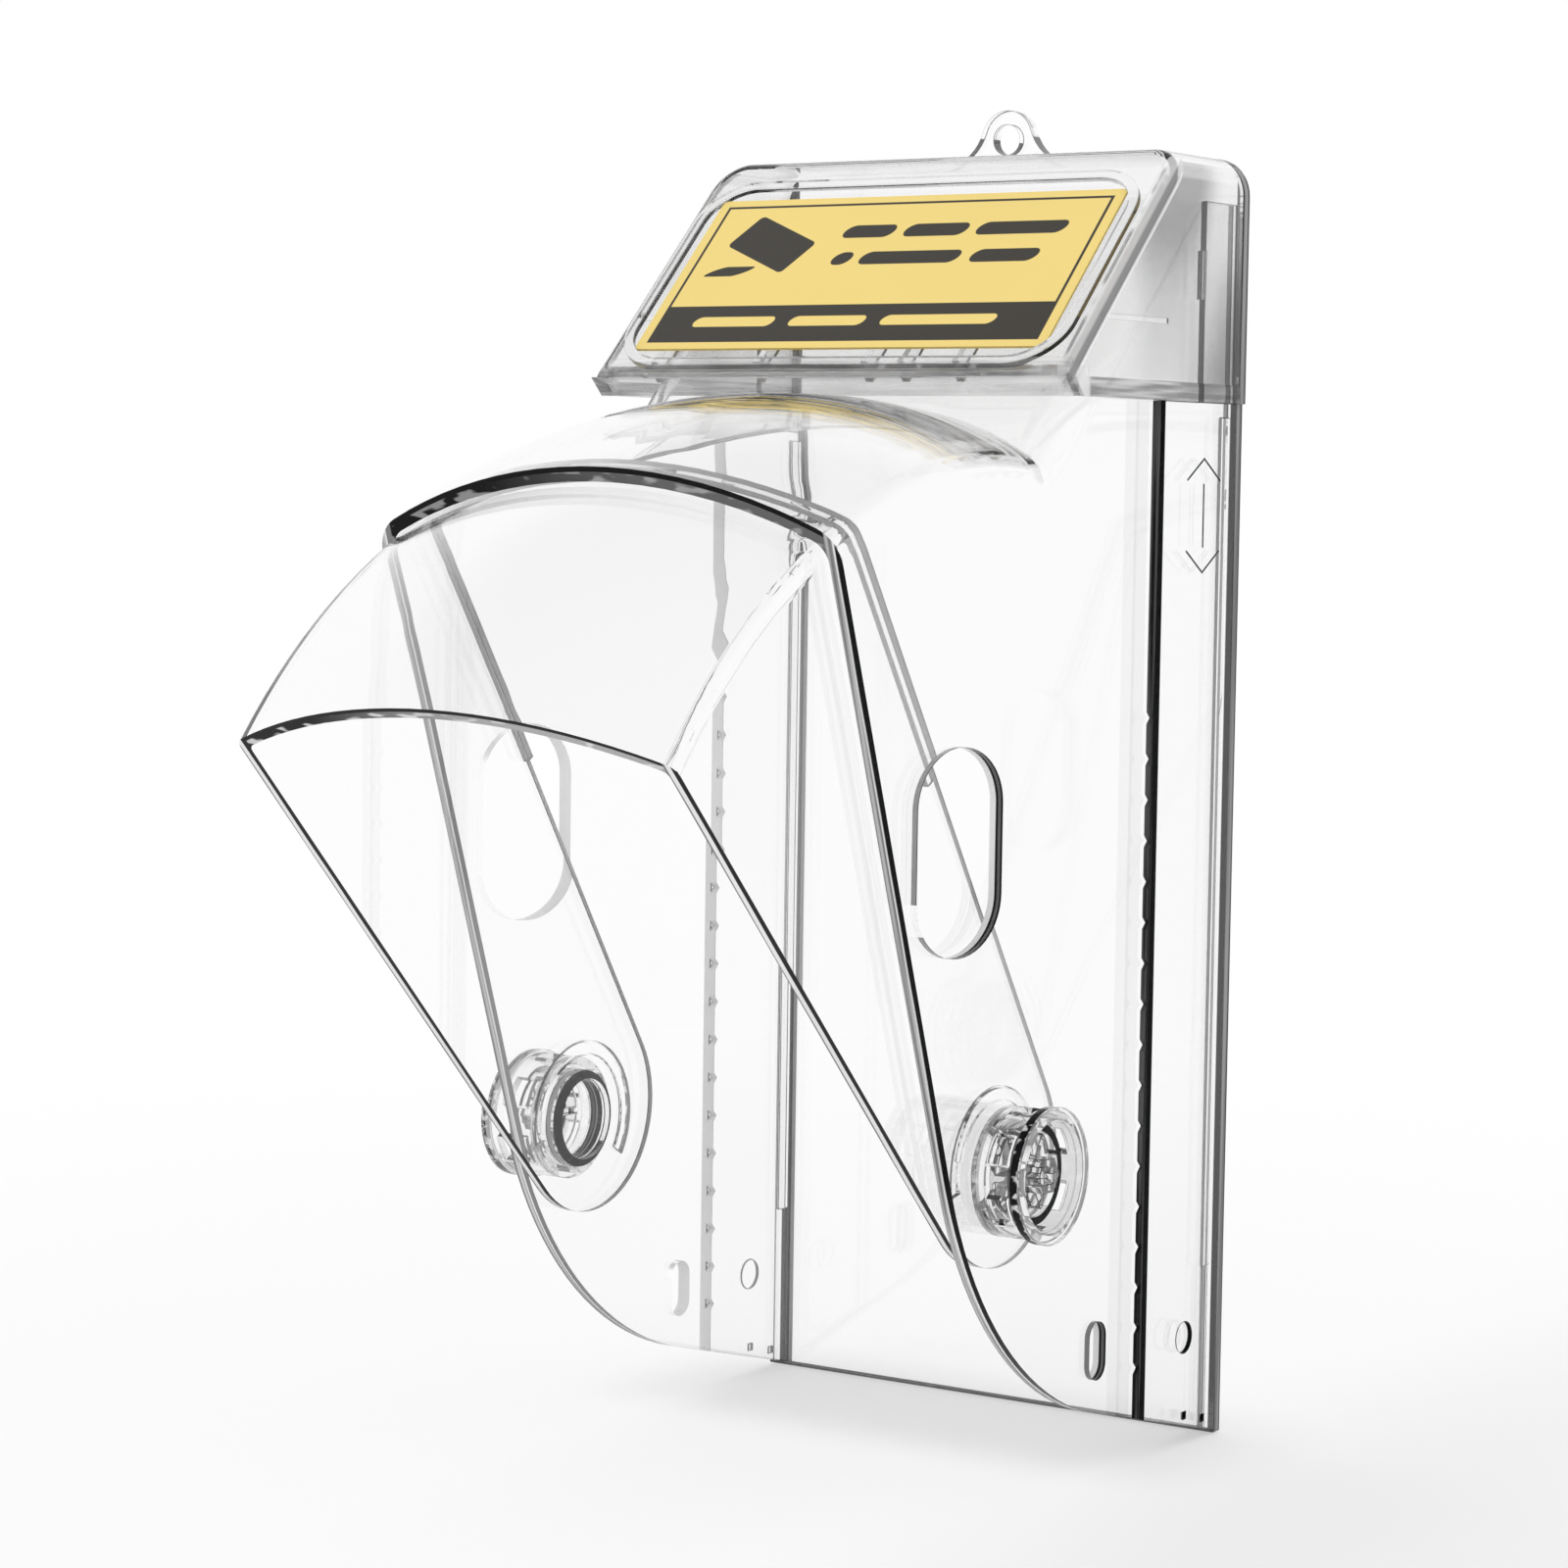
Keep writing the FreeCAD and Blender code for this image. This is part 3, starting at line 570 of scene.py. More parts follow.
@dataclass(frozen=True)
class CapShade:
    """The cap's painted shade on its side walls and its streaked lower band, and painted light on
    its sloping corners, in millimetres.

    A point lies below the slope by the slope's value plus y less z, times the root of a half.
    """

    side: float = 41.1
    side_dark: float = 0.36
    side_light: float = 0.3
    clouds: Grain = Grain(38.0, 0.38, 0.66, (1.0, 1.0, 0.7))
    slope: float = 121.0
    corner_start: float = 40.25
    corner_radius: float = 2.5
    corner_cover: float = 0.5
    corner_line: tuple[Step, Step] = ((0.04, 0.1), (0.16, 0.24))
    corner_breaks: Grain = Grain(150.0, 0.4, 0.55, (0.2, 1.0, 1.0), 1.0)
    corner_strip: tuple[Step, Step] = ((0.5, 0.62), (0.82, 0.95))
    corner_grey: float = 0.5
    band_top: float = 64.9
    band_dark: float = 0.45
    band_streak: float = 0.3
    streaks: Grain = Grain(130.0, 0.35, 0.7, (0.5, 0.5, 9.0), 1.0)
    front_share: float = 0.4
    chin: tuple[float, float] = (-50.0, 66.5)
    chin_soft: tuple[float, float, float] = (0.3, 1.0, 0.5)
    chin_cover: float = 0.4
    foot: tuple[float, float] = (-52.6, 67.8)
    foot_soft: float = 0.3
    foot_cover: float = 0.3
    arris_dark: float = 0.45

    def corner(self, sheet: NodeSheet, x: Signal, y: Signal, z: Signal) -> tuple[Signal, Signal]:
        """Return where the slope's rounded corners are painted pale, and their broken black and
        grey lines of painted shade.

        The way round a corner runs from 0 on the slope's face to 1 on the side wall.
        """
        below = ((y - z) + self.slope) * SLOPE
        start = abs(x).past(self.corner_start)
        near = 1.0 - below.past(self.corner_radius)
        way = (abs(x) - self.corner_start + below) / (2.0 * self.corner_radius)
        line = way.strip(*self.corner_line) * self.corner_breaks.on(sheet)
        return start * near, line.most(way.strip(*self.corner_strip) * self.corner_grey)

    def marks(self, sheet: NodeSheet) -> tuple[Signal, Signal]:
        """Return how much of the surface is the painted coat, and how dark its painted shade is,
        from 0 to 1.
        """
        x, y, z = sheet.place()
        # Clouded painted shade on the side walls.
        sides = abs(x).past(self.side)
        painted_side_shade = sides * (self.side_dark - self.side_light * self.clouds.on(sheet))
        streaks = self.streaks.on(sheet)
        # A streaked band of painted shade low on the cap.
        band = (1.0 - z.past(self.band_top)) * (self.band_dark - self.band_streak * streaks)
        band = band * (self.front_share + (1.0 - self.front_share) * sides)
        cover = painted_side_shade.most(band).most(sheet.attribute(ARRIS) * self.arris_dark)
        corner, lines = self.corner(sheet, x, y, z)
        chin_y, chin_z = self.chin
        soft_x, soft_y, soft_z = self.chin_soft
        # The chin and the foot are patches of painted light.
        chin = abs(x).rise(self.corner_start, self.corner_start + soft_x)
        chin = chin * (1.0 - y.rise(chin_y, chin_y + soft_y))
        chin = chin * (1.0 - z.rise(chin_z - soft_z, chin_z))
        foot_y, foot_z = self.foot
        foot = 1.0 - y.rise(foot_y - self.foot_soft, foot_y)
        foot = foot * (1.0 - z.rise(foot_z - self.foot_soft, foot_z))
        painted_light = corner.most(chin).most(foot)
        pale_cover = (corner * self.corner_cover).most(chin * self.chin_cover)
        pale_cover = pale_cover.most(foot * self.foot_cover)
        lines = lines.most(foot * (1.0 - streaks) * self.band_dark)
        return cover * (1.0 - painted_light) + pale_cover, (1.0 - painted_light) + painted_light * lines


@dataclass(frozen=True)
class ClearPlastic:
    """Polished clear plastic, a little wavy from the mould, with a satin coat of painted shade and
    painted highlights at its cut edges.

    Lengths are metres, and absorption is per metre.
    """

    name: str
    shade: Shade | None = None
    # The clear body's colour; grey on the arrow strokes, where it is painted shade.
    painted_shade_tint: tuple[float, float, float, float] = colour(1.0, 1.0, 1.0)
    index: float = 1.49
    absorption: float = 7.0
    polish: float = 0.003
    wear: float = 0.005
    smears: Grain = Grain(60.0, 0.4, 0.7)
    wave_scale: float = 18.0
    wave_stretch: tuple[float, float, float] = (1.0, 1.0, 0.25)
    wave_depth: float = 0.0006
    wave_strength: float = 0.12
    plain_scale: float = 400.0
    plain_cover: float = 0.8
    # The white of the painted highlights at the cut edges.
    painted_light: tuple[float, float, float, float] = colour(0.93, 0.93, 0.93)
    # The black of the painted shade at the cut edges.
    ink_and_painted_shade: tuple[float, float, float, float] = colour(0.004, 0.004, 0.005)
    full_painted_shade: float = 1.04
    painted_edge_roughness: float = 0.25
    painted_edge_gloss: float = 0.12

    def build(self) -> bpy.types.Material:
        """Return the finished material: a clear body, mixed where the shade says with a satin coat
        that is painted black as shade and white as highlight.
        """
        sheet = NodeSheet(bpy.data.materials.new(self.name))
        if self.shade:
            cover, dark = self.shade.marks(sheet)
            # The coat's colour runs from painted highlight white to painted shade black.
            painted_edge_colour = sheet.blend((dark * self.full_painted_shade).least(1.0), self.painted_light, self.ink_and_painted_shade)
        else:
            # Without a shade, patches of the coat in painted shade black cover part of the piece.
            cover = sheet.noise(self.plain_scale, detail=0.0) * self.plain_cover
            painted_edge_colour = self.ink_and_painted_shade
        waves = sheet.noise(self.wave_scale, self.wave_stretch, 0.0)
        body = sheet.node("ShaderNodeBsdfPrincipled", {}, {
            "Base Color": self.painted_shade_tint,
            "Roughness": self.polish + self.wear * self.smears.on(sheet),
            "IOR": self.index,
            "Transmission Weight": 1.0,
            "Normal": sheet.bump(waves, self.wave_depth, self.wave_strength),
        })
        painted_edge = sheet.node("ShaderNodeBsdfPrincipled", {}, {
            "Base Color": painted_edge_colour,
            "Roughness": self.painted_edge_roughness,
            "IOR": self.index,
            "Specular IOR Level": self.painted_edge_gloss,
        })
        mixed = sheet.node("ShaderNodeMixShader", {},
                           {0: cover.least(1.0), 1: body.outputs[0], 2: painted_edge.outputs[0]})
        inside = sheet.node("ShaderNodeVolumeAbsorption", {},
                            {"Color": colour(0.0, 0.0, 0.0), "Density": self.absorption})
        sheet.close(mixed.outputs[0], inside.outputs[0])
        return sheet.owner


@dataclass(frozen=True)
class Bar:
    """A slanted bar of print: its centre, its half sizes and how far its top leans to the right.

    Lengths are millimetres, and the lean is per millimetre of height.
    """

    across: float
    up: float
    half_length: float
    half_height: float
    lean: float = 0.35


@dataclass(frozen=True)
class PrintedCard:
    """A printed card: a coloured ground, a thin border, a dark band and rows of plain bars.

    Positions are millimetres from the card's centre, across it and up its slope.
    """

    name: str = "printed card"
    ground: tuple[float, float, float, float] = colour(0.96, 0.735, 0.22)
    ink_and_painted_shade: tuple[float, float, float, float] = colour(0.031, 0.025, 0.016)
    border_inset: float = 1.9
    border_line: float = 0.5
    band_high: float = -7.6
    edge: float = 0.07
    words: tuple[Bar, ...] = (
        Bar(-5.5, 9.1, 4.6, 1.45), Bar(6.6, 9.1, 5.6, 1.45), Bar(21.8, 9.1, 7.8, 1.45),
        Bar(-7.7, 2.9, 1.7, 1.45), Bar(4.6, 2.9, 8.9, 1.45), Bar(21.4, 2.9, 5.8, 1.45))
    band_words: tuple[Bar, ...] = (
        Bar(-21.0, -11.2, 7.4, 1.1), Bar(-3.8, -11.2, 6.8, 1.1), Bar(16.0, -11.2, 10.0, 1.1))
    mark_centre: tuple[float, float] = (-22.6, 6.6)
    mark_half: tuple[float, float] = (7.4, 3.9)
    mark_round: float = 0.9
    mark_turn: float = -27.0
    mark_foot: Bar = Bar(-27.6, 0.4, 3.4, 1.1, 1.6)
    fade: Grain = Grain(35.0, 0.35, 0.75, detail=2.0)
    fade_share: float = 0.35
    fade_level: float = 0.93
    fibre_scale: float = 900.0
    fibre_depth: float = 0.00002
    fibre_strength: float = 0.4
    roughness: float = 0.42
    fibre_roughness: float = 0.12
    ink_polish: float = 0.1
    coat: float = 0.15

    def bar(self, across: Signal, up: Signal, shape: Bar) -> Signal:
        """Return 1 on a slanted bar with round ends.

        There the distance to the bar's middle line is less than its half height.
        """
        leaned = across - shape.across - (up - shape.up) * shape.lean
        past_end = (abs(leaned) - (shape.half_length - shape.half_height)).most(0.0)
        distance = (past_end ** 2.0 + (up - shape.up) * (up - shape.up)) ** 0.5
        return 1.0 - distance.past(shape.half_height, self.edge)

    def block(self, across: Signal, up: Signal) -> Signal:
        """Return 1 on the mark, a turned rectangle with rounded corners."""
        turn = math.radians(self.mark_turn)
        cos, sin = math.cos(turn), math.sin(turn)
        right, rise = across - self.mark_centre[0], up - self.mark_centre[1]
        flat_length, flat_height = (half - self.mark_round for half in self.mark_half)
        past_length = (abs(right * cos + rise * sin) - flat_length).most(0.0)
        past_height = (abs(rise * cos - right * sin) - flat_height).most(0.0)
        distance = (past_length * past_length + past_height * past_height) ** 0.5
        return 1.0 - distance.past(self.mark_round, self.edge)

    def framed(self, across: Signal, up: Signal, half_width: float, half_height: float) -> Signal:
        """Return how far a point lies outside a rectangle about the centre, negative inside."""
        return (abs(across) - half_width).most(abs(up) - half_height)

    def build(self, low: Vector, high: Vector) -> bpy.types.Material:
        """Return the finished material.

        Args:
            low: The card's lowest corner in the frame.
            high: The card's highest corner in the frame.

        Returns:
            The card's material.
        """
        sheet = NodeSheet(bpy.data.materials.new(self.name))
        middle = (Vector(low) + Vector(high)) / 2 / MM
        x, y, z = sheet.place()
        up = ((y - middle.y) + (z - middle.z)) * SLOPE
        half_width = (high[0] - low[0]) / 2 / MM - self.border_inset
        half_height = (high[2] - low[2]) / 2 / MM / SLOPE - self.border_inset
        outside = self.framed(x, up, half_width, half_height)
        line = 1.0 - (abs(outside) - self.border_line / 2).past(0.0, self.edge)
        inside = 1.0 - outside.past(0.0, self.edge)
        band = inside * (1.0 - up.past(self.band_high, self.edge))
        ink_and_painted_shade = line.most(band)
        for shape in self.words:
            ink_and_painted_shade = ink_and_painted_shade.most(self.bar(x, up, shape))
        for shape in self.band_words:
            ink_and_painted_shade = ink_and_painted_shade * (1.0 - self.bar(x, up, shape))
        ink_and_painted_shade = ink_and_painted_shade.most(self.block(x, up)).most(self.bar(x, up, self.mark_foot))
        fibre = sheet.noise(self.fibre_scale, detail=3.0)
        ground = sheet.blend(self.fade.on(sheet) * self.fade_share, self.ground,
                             colour(*(value * self.fade_level for value in self.ground[:3])))
        face = sheet.node("ShaderNodeBsdfPrincipled", {}, {
            "Base Color": sheet.blend(ink_and_painted_shade, ground, self.ink_and_painted_shade),
            "Roughness": self.roughness + self.fibre_roughness * fibre - self.ink_polish * ink_and_painted_shade,
            "Coat Weight": self.coat,
            "Normal": sheet.bump(fibre, self.fibre_depth, self.fibre_strength),
        })
        sheet.close(face.outputs[0])
        return sheet.owner


def skin_of(node: str) -> bpy.types.Mesh:
    """Return a node's mesh as one smooth closed skin, with its flat faces whole.

    Args:
        node: The CAD node whose mesh is copied.

    Returns:
        A new mesh, merged, smooth over its curves and sharp at its edges, with the rim attribute.
    """
    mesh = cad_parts[node].data.copy()
    mesh.materials.clear()
    work = bmesh.new()
    work.from_mesh(mesh)
    bmesh.ops.remove_doubles(work, verts=work.verts, dist=MERGE_GAP)
    bmesh.ops.dissolve_degenerate(work, edges=work.edges, dist=MERGE_GAP)
    bmesh.ops.dissolve_limit(work, angle_limit=FLAT_ANGLE, verts=work.verts, edges=work.edges)
    for face in work.faces:
        face.smooth = True
    work.to_mesh(mesh)
    work.free()
    store_rims(mesh)
    return mesh


def ease_edges(mesh: bpy.types.Mesh, width: float, segments: int) -> None:
    """Round a skin's sharp edges and mark the new faces.

    Args:
        mesh: The skin. Its new faces get the face attribute named by ARRIS.
        width: How far the rounding reaches from the edge, in metres.
        segments: Faces across the rounding.
    """
    work = bmesh.new()
    work.from_mesh(mesh)
    arris = work.faces.layers.float.new(ARRIS)
    sharp = [edge for edge in work.edges
             if edge.is_manifold and edge.calc_face_angle(0.0) > SHARP_ANGLE]
    made = bmesh.ops.bevel(work, geom=sharp, offset=width, offset_type="OFFSET", segments=segments,
                           profile=0.5, affect="EDGES", clamp_overlap=True, loop_slide=True)
    for face in made["faces"]:
        face[arris] = 1.0
        face.smooth = True
    work.to_mesh(mesh)
    work.free()


def store_rims(mesh: bpy.types.Mesh) -> None:
    """Store on each face how much it is a wall's edge, from the depth of plastic behind it.

    The depth is measured straight inwards from the middle of each of the face's triangles. It
    counts as 0 up to RIM_NEAR, 1 from RIM_FAR, and in proportion between them. A face takes the
    mean, weighted by the triangles' areas, and is a wall's edge if that is over RIM_LEAST. Then it
    stores 1, or BACK_SHARE if its normal points backwards by more than BACK_LEAST. Others store 0.

    Args:
        mesh: A closed mesh with outward faces. It gets the face attribute named by RIM.
    """
    count = len(mesh.vertices)
    points = np.empty(count * 3)
    mesh.vertices.foreach_get("co", points)
    points = points.reshape(-1, 3)
    mesh.calc_loop_triangles()
    corners = np.empty(len(mesh.loop_triangles) * 3, dtype=np.int32)
    mesh.loop_triangles.foreach_get("vertices", corners)
    owner = np.empty(len(mesh.loop_triangles), dtype=np.int32)
    mesh.loop_triangles.foreach_get("polygon_index", owner)
    corners = corners.reshape(-1, 3)
    first, second, third = (points[corners[:, place]] for place in range(3))
    across = np.cross(second - first, third - first)
    size = np.linalg.norm(across, axis=1)
    inwards = -across / np.maximum(size, TINY_AREA)[:, None]
    starts = (first + second + third) / 3 + inwards * START_GAP
    tree = BVHTree.FromPolygons(points.tolist(), corners.tolist())
    hits = [tree.ray_cast(Vector(start), Vector(way))[3] for start, way in zip(starts, inwards)]
    depth = np.array([hit or 0.0 for hit in hits])
    faces = len(mesh.polygons)
    deep = np.clip((depth - RIM_NEAR) / (RIM_FAR - RIM_NEAR), 0.0, 1.0)
    weight = np.maximum(np.bincount(owner, size, faces), TINY_AREA)
    rim = np.bincount(owner, size * deep, faces) / weight
    backwards = np.bincount(owner, across[:, 1], faces) / weight
    rim = np.where(rim > RIM_LEAST, np.where(backwards > BACK_LEAST, BACK_SHARE, 1.0), 0.0)
    store = mesh.attributes.new(RIM, "FLOAT", "FACE")
    store.data.foreach_set("value", rim.astype(np.float32))


@dataclass
class Moulding:
    """One clear moulded piece, made over its CAD node with eased edges."""

    node: str
    body: Body
    slot: Slot
    finish: bpy.types.Material
    easing: float = 0.2
    segments: int = 2

    def build(self) -> None:
        """Make the piece, in place of its CAD node."""
        skin = skin_of(self.node)
        ease_edges(skin, self.easing * MM, self.segments)
        piece = bpy.data.objects.new(self.node + "_moulding", skin)
        bpy.context.scene.collection.objects.link(piece)
        piece.data.materials.append(self.finish)
        flat = piece.modifiers.new("flat faces stay flat", "WEIGHTED_NORMAL")
        flat.mode = "FACE_AREA"
        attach(piece, self.body.value)
        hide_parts(self.node)
        log.info("%s stands for %s on %s, %d faces", piece.name, self.node, self.body.value,
                 len(skin.polygons))


def mesh_piece(name: str, points: np.ndarray, faces: np.ndarray, body: Body, slot: Slot,
               finish: bpy.types.Material) -> bpy.types.Object:
    """Make a new piece from worked-out points and faces.

    Args:
        name: The piece's name.
        points: Its points in millimetres, one row each.
        faces: Its faces, one row of point numbers each, turned outwards.
        body: The body that it rides on.
        slot: Not used.
        finish: Its material.

    Returns:
        The new object.
    """
    mesh = bpy.data.meshes.new(name)
    mesh.from_pydata((points * MM).tolist(), [], faces.tolist())
    mesh.materials.append(finish)
    mesh.validate()
    piece = bpy.data.objects.new(name, mesh)
    bpy.context.scene.collection.objects.link(piece)
    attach(piece, body.value)
    log.info("%s rides on %s with %d faces", name, body.value, len(mesh.polygons))
    return piece


def swept_stroke(path: np.ndarray, half_width: float, height: float, across: np.ndarray,
                 steps: int = 8, foot_share: float = 0.9) -> tuple[np.ndarray, np.ndarray]:
    """Carry a half-round profile along a flat path.

    At each point of the path the profile lies across the mean of the two runs that meet there,
    widened by one over the cosine of half their turn, so that the corners are mitred. Around the
    profile, the offset is half_width times cos a and the height is height times sin a, closed
    below the surface.

    Args:
        path: Points of the stroke's middle line on the surface, in millimetres.
        half_width: Half the stroke's width.
        height: How far it stands off the surface.
        across: The surface's outward unit normal.
        steps: Divisions of the half round.
        foot_share: The width below the surface, as a share of the stroke's width.

    Returns:
        The points and the four-sided faces of a closed bar.
    """
    runs = np.diff(path, axis=0)
    runs /= np.linalg.norm(runs, axis=1)[:, None]
    before = np.vstack([runs[:1], runs])
    after = np.vstack([runs, runs[-1:]])
    ways = before + after
    ways /= np.linalg.norm(ways, axis=1)[:, None]
    widening = 1.0 / np.sum(ways * after, axis=1)
    sides = np.cross(ways, across) * widening[:, None]
    turns = np.linspace(0.0, math.pi, steps + 1)
    foot = half_width * foot_share
    out = np.concatenate([np.cos(turns) * half_width, [-foot, foot]])
    up = np.concatenate([np.sin(turns) * height, [-height, -height]])
    points = path[:, None] + sides[:, None] * out[None, :, None] + across * up[None, :, None]
    rows, columns = points.shape[:2]
    row, column = np.meshgrid(np.arange(rows - 1), np.arange(columns), indexing="ij")
    following = (column + 1) % columns
    quads = np.stack([row * columns + column, (row + 1) * columns + column,
                      (row + 1) * columns + following, row * columns + following], axis=-1)
    return points.reshape(-1, 3), quads.reshape(-1, 4)


def capped_piece(name: str, stroke: tuple[np.ndarray, np.ndarray], body: Body, slot: Slot,
                 finish: bpy.types.Material) -> None:
    """Make a piece from an open-ended bar, with its ends closed and its faces turned outwards."""
    piece = mesh_piece(name, *stroke, body, slot, finish)
    work = bmesh.new()
    work.from_mesh(piece.data)
    bmesh.ops.holes_fill(work, edges=work.edges)
    bmesh.ops.recalc_face_normals(work, faces=work.faces)
    work.to_mesh(piece.data)
    work.free()


@dataclass
class BackTray:
    """The back tray, and the slide arrow on its right flange. Sizes are millimetres."""

    finish: bpy.types.Material
    arrow_finish: bpy.types.Material
    arrow_middle: tuple[float, float] = (-12.2, 44.7)
    arrow_half_height: float = 8.7
    head_half_width: float = 5.3
    head_height: float = 3.3
    stem_half: float = 4.9
    stroke_half: float = 0.17
    stroke_height: float = 0.1
    flange_face: float = 42.25

    def build(self) -> None:
        """Build the tray's moulding and its arrow."""
        Moulding("back_tray", Body.TRAY, Slot.TRAY, self.finish).build()
        depth, height = self.arrow_middle
        for name, way in (("slide_arrow_up", 1.0), ("slide_arrow_down", -1.0)):
            tip = height + way * self.arrow_half_height
            foot = tip - way * self.head_height
            self.stroke(name, [(depth - self.head_half_width, foot), (depth, tip),
                               (depth + self.head_half_width, foot)])
        self.stroke("slide_arrow_stem", [(depth, height - self.stem_half),
                                         (depth, height + self.stem_half)])

    def stroke(self, name: str, line: list[tuple[float, float]]) -> None:
        """Build one raised stroke on the flange from its depth and height points."""
        path = np.column_stack([np.full(len(line), self.flange_face), np.array(line)])
        bar = swept_stroke(path, self.stroke_half, self.stroke_height, np.array([1.0, 0.0, 0.0]))
        capped_piece(name, bar, Body.TRAY, Slot.TRAY, self.arrow_finish)


@dataclass
class Hood:
    """The sliding hood."""

    finish: bpy.types.Material

    def build(self) -> None:
        """Build the hood's moulding."""
        Moulding("hood", Body.HOOD, Slot.HOOD, self.finish).build()


@dataclass
class Visor:
    """The tilting visor with the knobs and cores that carry it."""

    finish: bpy.types.Material
    knob_finish: bpy.types.Material
    knob_easing: float = 0.12

    def build(self) -> None:
        """Build the visor, its two knobs and their cores."""
        Moulding("visor", Body.VISOR, Slot.VISOR, self.finish).build()
        for side in ("right", "left"):
            for part in ("knob_", "hub_core_"):
                Moulding(part + side, Body.VISOR, Slot.KNOB, self.knob_finish,
                         self.knob_easing).build()


@dataclass
class SignHead:
    """The cap over the tray's head and the printed card on it."""

    finish: bpy.types.Material
    card: PrintedCard = field(default_factory=PrintedCard)

    def build(self) -> None:
        """Build the cap and the card."""
        Moulding("sign_cap", Body.TRAY, Slot.CAP, self.finish).build()
        print_finish = self.card.build(*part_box("sign_card"))
        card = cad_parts["sign_card"]
        card.data.materials.clear()
        card.data.materials.append(print_finish)
        log.info("sign_card keeps its CAD solid")


@dataclass(frozen=True)
class CameraPlace:
    """Where the photograph was taken from. Angles are degrees, lengths millimetres or pixels."""

    azimuth: float = 33.77
    elevation: float = 4.26
    roll: float = 0.83
    focal_pixels: float = 4121.0
    photo_width: float = 1600.0
    sensor: float = 36.0
    distance: float = 632.0
    aim: tuple[float, float, float] = (0.0, -30.0, -5.0)
    slide: float = -18.6
    lift: float = 7.1
    near: float = 10.0
    far: float = 60_000.0

    def build(self) -> None:
        """Make the scene's camera.

        It looks back along the line from its place to the aim, is rolled about that line, and is
        slid and lifted in its own picture plane.
        """
        turn, tip, roll = map(math.radians, (self.azimuth, self.elevation, self.roll))
        back = Vector((math.sin(turn) * math.cos(tip), -math.cos(turn) * math.cos(tip),
                       math.sin(tip)))
        right = Vector((math.cos(turn), math.sin(turn), 0.0))
        up = back.cross(right)
        rolled_right = right * math.cos(roll) + up * math.sin(roll)
        rolled_up = up * math.cos(roll) - right * math.sin(roll)
        place = (Vector(self.aim) + back * self.distance + rolled_right * self.slide
                 + rolled_up * self.lift) * MM
        data = bpy.data.cameras.new("photo_camera")
        data.sensor_width = self.sensor
        data.lens = self.focal_pixels / self.photo_width * self.sensor
        data.clip_start = self.near * MM
        data.clip_end = self.far * MM
        camera = bpy.data.objects.new("photo_camera", data)
        turned = Matrix((rolled_right, rolled_up, back)).transposed().to_4x4()
        camera.matrix_world = Matrix.Translation(place) @ turned
        bpy.context.scene.collection.objects.link(camera)
        bpy.context.scene.camera = camera


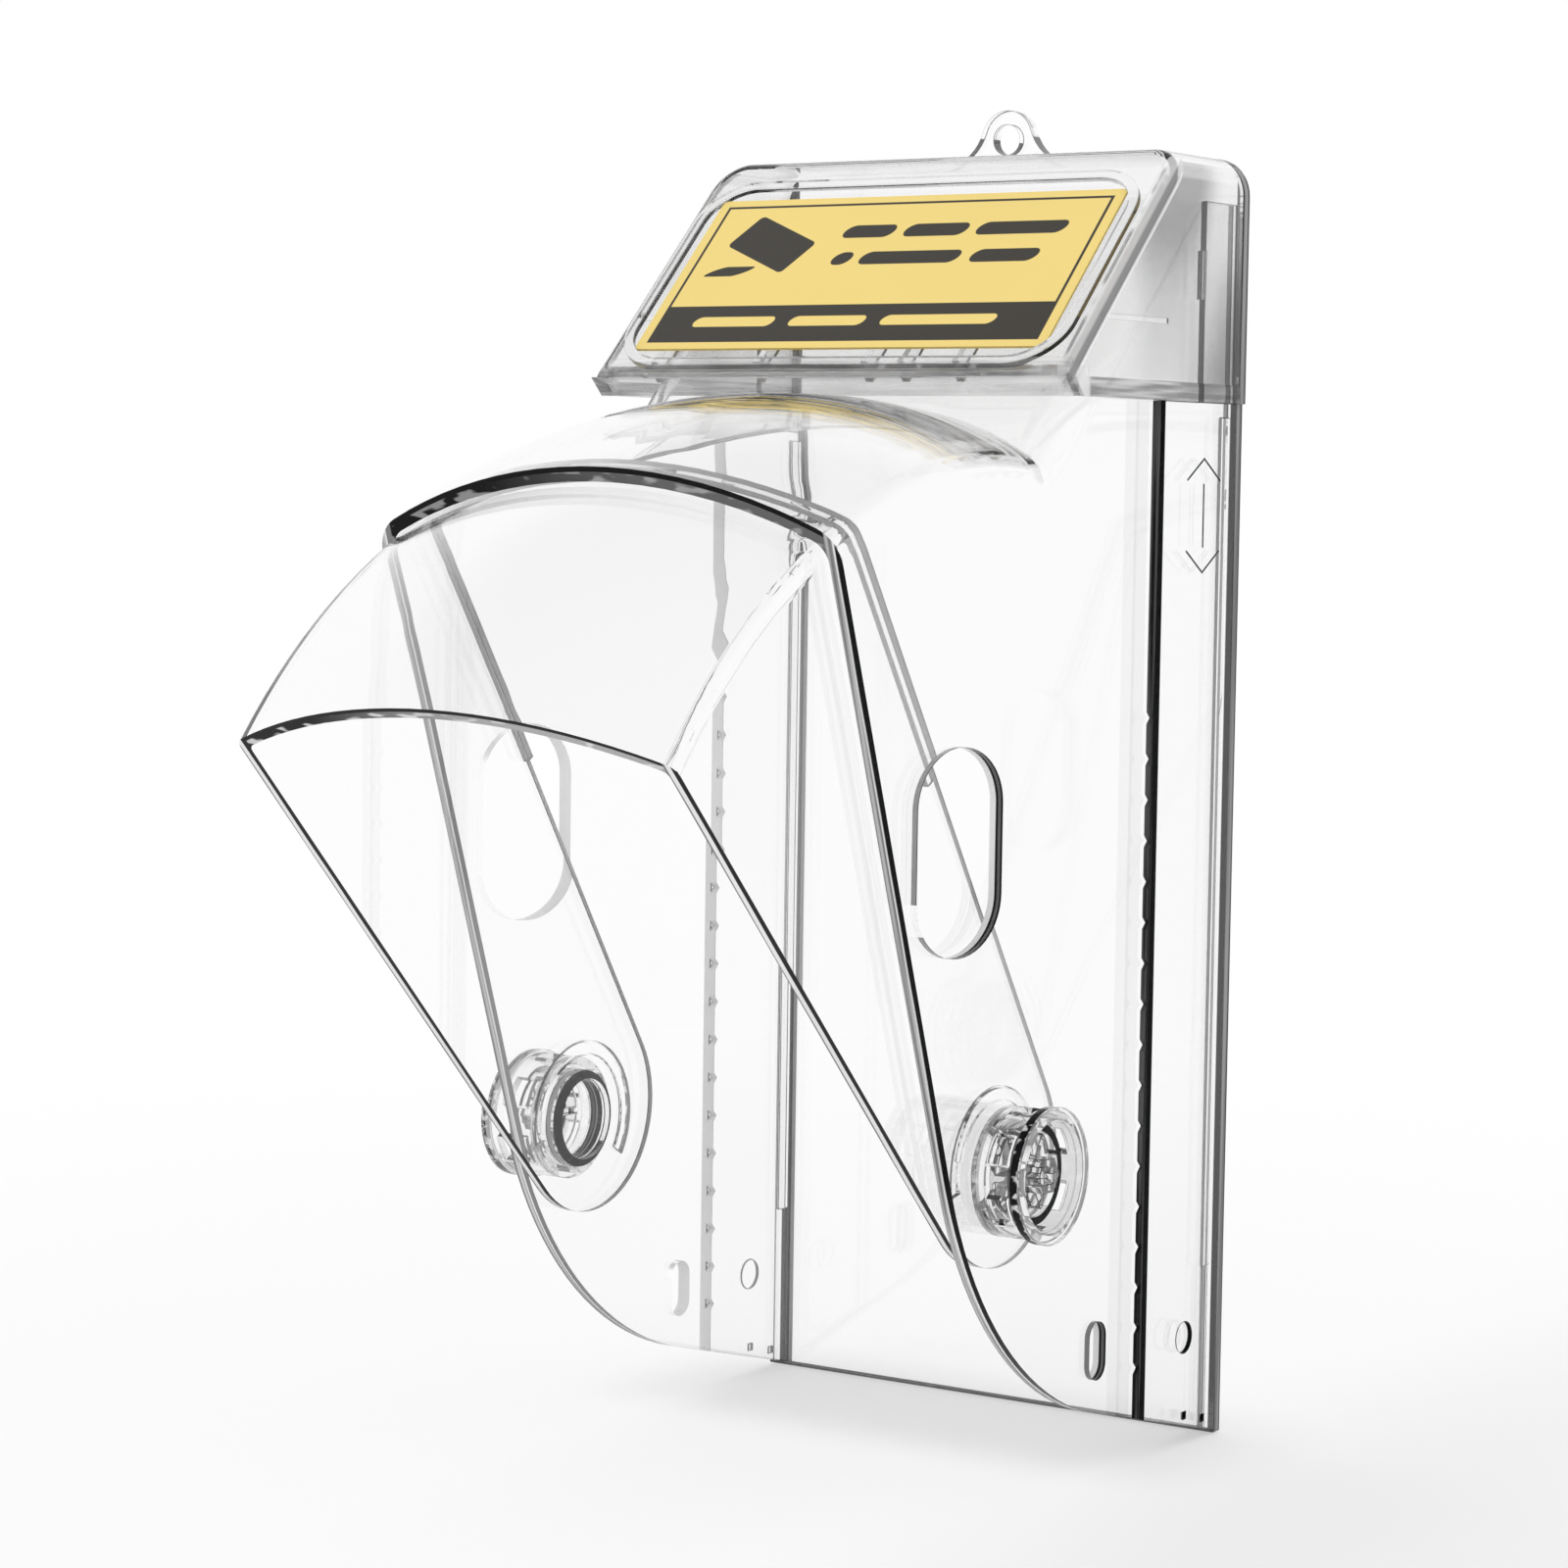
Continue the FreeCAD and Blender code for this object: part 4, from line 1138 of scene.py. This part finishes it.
@dataclass
class Studio:
    """A white floor that keeps the cover's shadow, and a white room with a darker ceiling."""

    floor_half: float = 6.0
    floor_albedo: float = 0.91
    floor_drop: float = 0.3
    footprint: tuple[float, float] = (42.0, 25.0)
    contact_white: float = 0.55
    near_white: float = 0.8
    painted_shadow_white: float = 0.45
    near_reach: Step = (1.0, 22.0)
    far_reach: Step = (90.0, 420.0)
    painted_shadow_reach: Step = (20.0, 90.0)
    ceiling_level: float = 0.5
    ceiling_reach: Step = (0.55, 0.9)
    fill_level: float = 1.0
    bounces: int = 12
    glossy_bounces: int = 8

    def build(self) -> None:
        """Make the floor, the world and the light paths' limits."""
        self.build_floor()
        self.build_world()
        scene = bpy.context.scene
        scene.view_settings.view_transform = "Standard"
        scene.cycles.max_bounces = self.bounces
        scene.cycles.transmission_bounces = self.bounces
        scene.cycles.glossy_bounces = self.glossy_bounces

    def build_floor(self) -> None:
        """Make the floor: it keeps most shadow next to the cover, is painted darker to its right as
        painted shadow, and fades to white away from it.

        The distance is measured from the tray's footprint, in millimetres.
        """
        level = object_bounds()[0][2] - self.floor_drop * MM
        side = self.floor_half
        mesh = bpy.data.meshes.new("floor")
        corners = ((-side, -side), (side, -side), (side, side), (-side, side))
        mesh.from_pydata([(*corner, level) for corner in corners], [], [(0, 1, 2, 3)])
        sheet = NodeSheet(bpy.data.materials.new("studio floor"))
        x, y, _ = sheet.place()
        half_width, depth = self.footprint
        beside = (abs(x) - half_width).most(0.0)
        before = (abs(y + depth / 2) - depth / 2).most(0.0)
        away = (beside * beside + before * before) ** 0.5
        plain = sheet.node("ShaderNodeBsdfDiffuse", {}, {"Color": colour(*[self.floor_albedo] * 3)})
        white = sheet.node("ShaderNodeEmission", {}, {"Strength": 1.0})
        near = (self.near_white - self.contact_white) * away.rise(*self.near_reach)
        near = self.contact_white + near
        # Painted shadow: the floor shows less white to the right of the cover.
        near = near * (1.0 - (1.0 - self.painted_shadow_white) * x.rise(*self.painted_shadow_reach))
        far = away.rise(*self.far_reach)
        share = (near + (1.0 - near) * far) * self.seen_rays(sheet)
        mixed = sheet.node("ShaderNodeMixShader", {},
                           {0: share, 1: plain.outputs[0], 2: white.outputs[0]})
        sheet.close(mixed.outputs[0])
        mesh.materials.append(sheet.owner)
        floor = bpy.data.objects.new("floor", mesh)
        bpy.context.scene.collection.objects.link(floor)
        floor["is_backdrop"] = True

    def seen_rays(self, sheet: NodeSheet) -> Signal:
        """Return 1 for what the camera sees directly, in a gloss or through the plastic."""
        path = sheet.node("ShaderNodeLightPath", {}, {})
        camera, glossy, through = (Signal(sheet, path.outputs[name]) for name in (
            "Is Camera Ray", "Is Glossy Ray", "Is Transmission Ray"))
        return camera.most(glossy).most(through)

    def build_world(self) -> None:
        """Make the room: white all round, with a darker ceiling for gloss and plastic only."""
        world = bpy.data.worlds.new("studio")
        world.cycles.sampling_method = "NONE"
        bpy.context.scene.world = world
        sheet = NodeSheet(world)
        path = sheet.node("ShaderNodeLightPath", {}, {})
        camera = Signal(sheet, path.outputs["Is Camera Ray"])
        diffuse = Signal(sheet, path.outputs["Diffuse Depth"]).least(1.0)
        source = sheet.node("ShaderNodeTexCoord", {}, {})
        split = sheet.node("ShaderNodeSeparateXYZ", {}, {0: source.outputs["Generated"]})
        height = Signal(sheet, split.outputs["Z"])
        ceiling = 1.0 - (1.0 - self.ceiling_level) * height.rise(*self.ceiling_reach)
        room = ceiling * (1.0 - diffuse) + diffuse * self.fill_level
        level = camera + room * (1.0 - camera)
        light = sheet.node("ShaderNodeBackground", {},
                           {"Color": colour(1.0, 1.0, 1.0), "Strength": level})
        sheet.close(light.outputs[0])


def main() -> None:
    """Build every piece and the studio."""
    logging.basicConfig(level=logging.INFO, format="%(name)s: %(message)s")
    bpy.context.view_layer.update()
    # Each piece's painted shade and painted highlights at its cut edges are set here.
    tray_rims = WallRims(inner=40.05, wall=2.2, mid_dark=0.84, streak=0.12, clear_line=0.0,
                         arris_left=0.1)
    clear_tray = ClearPlastic("clear tray", TrayShade(tray_rims)).build()
    hood_rims = WallRims(inner=37.55, wall=2.2, crown=112.2, band_left=0.7, roof_right=0.8,
                         mottle_share=0.35,
                         cutouts=((-78.0, -3.0, 11.6, 15.1, 0.04), (-35.5, -81.5, 2.6, 4.6, 0.7)))
    clear_hood = ClearPlastic("clear hood", hood_rims).build()
    visor_rims = WallRims(inner=35.35, wall=1.8, crown=109.6, line_dark=0.75, mid_dark=0.03,
                          streak=0.05, band_start=0.5, roof_right=0.5, arris_dark=0.6,
                          back_dark=0.6)
    clear_visor = ClearPlastic("clear visor", visor_rims).build()
    knob = ClearPlastic("clear knob", KnobShade(), absorption=14.0, wave_strength=0.03).build()
    clear_cap = ClearPlastic("clear cap", CapShade(), absorption=12.0).build()
    # The clear arrow strokes are tinted grey and patched with black, as painted shade.
    arrow = ClearPlastic("arrow stroke", painted_shade_tint=colour(0.12, 0.12, 0.13), wave_strength=0.0).build()
    BackTray(clear_tray, arrow).build()
    Hood(clear_hood).build()
    Visor(clear_visor, knob).build()
    SignHead(clear_cap).build()
    CameraPlace().build()
    Studio().build()


if __name__ == "__main__":
    main()
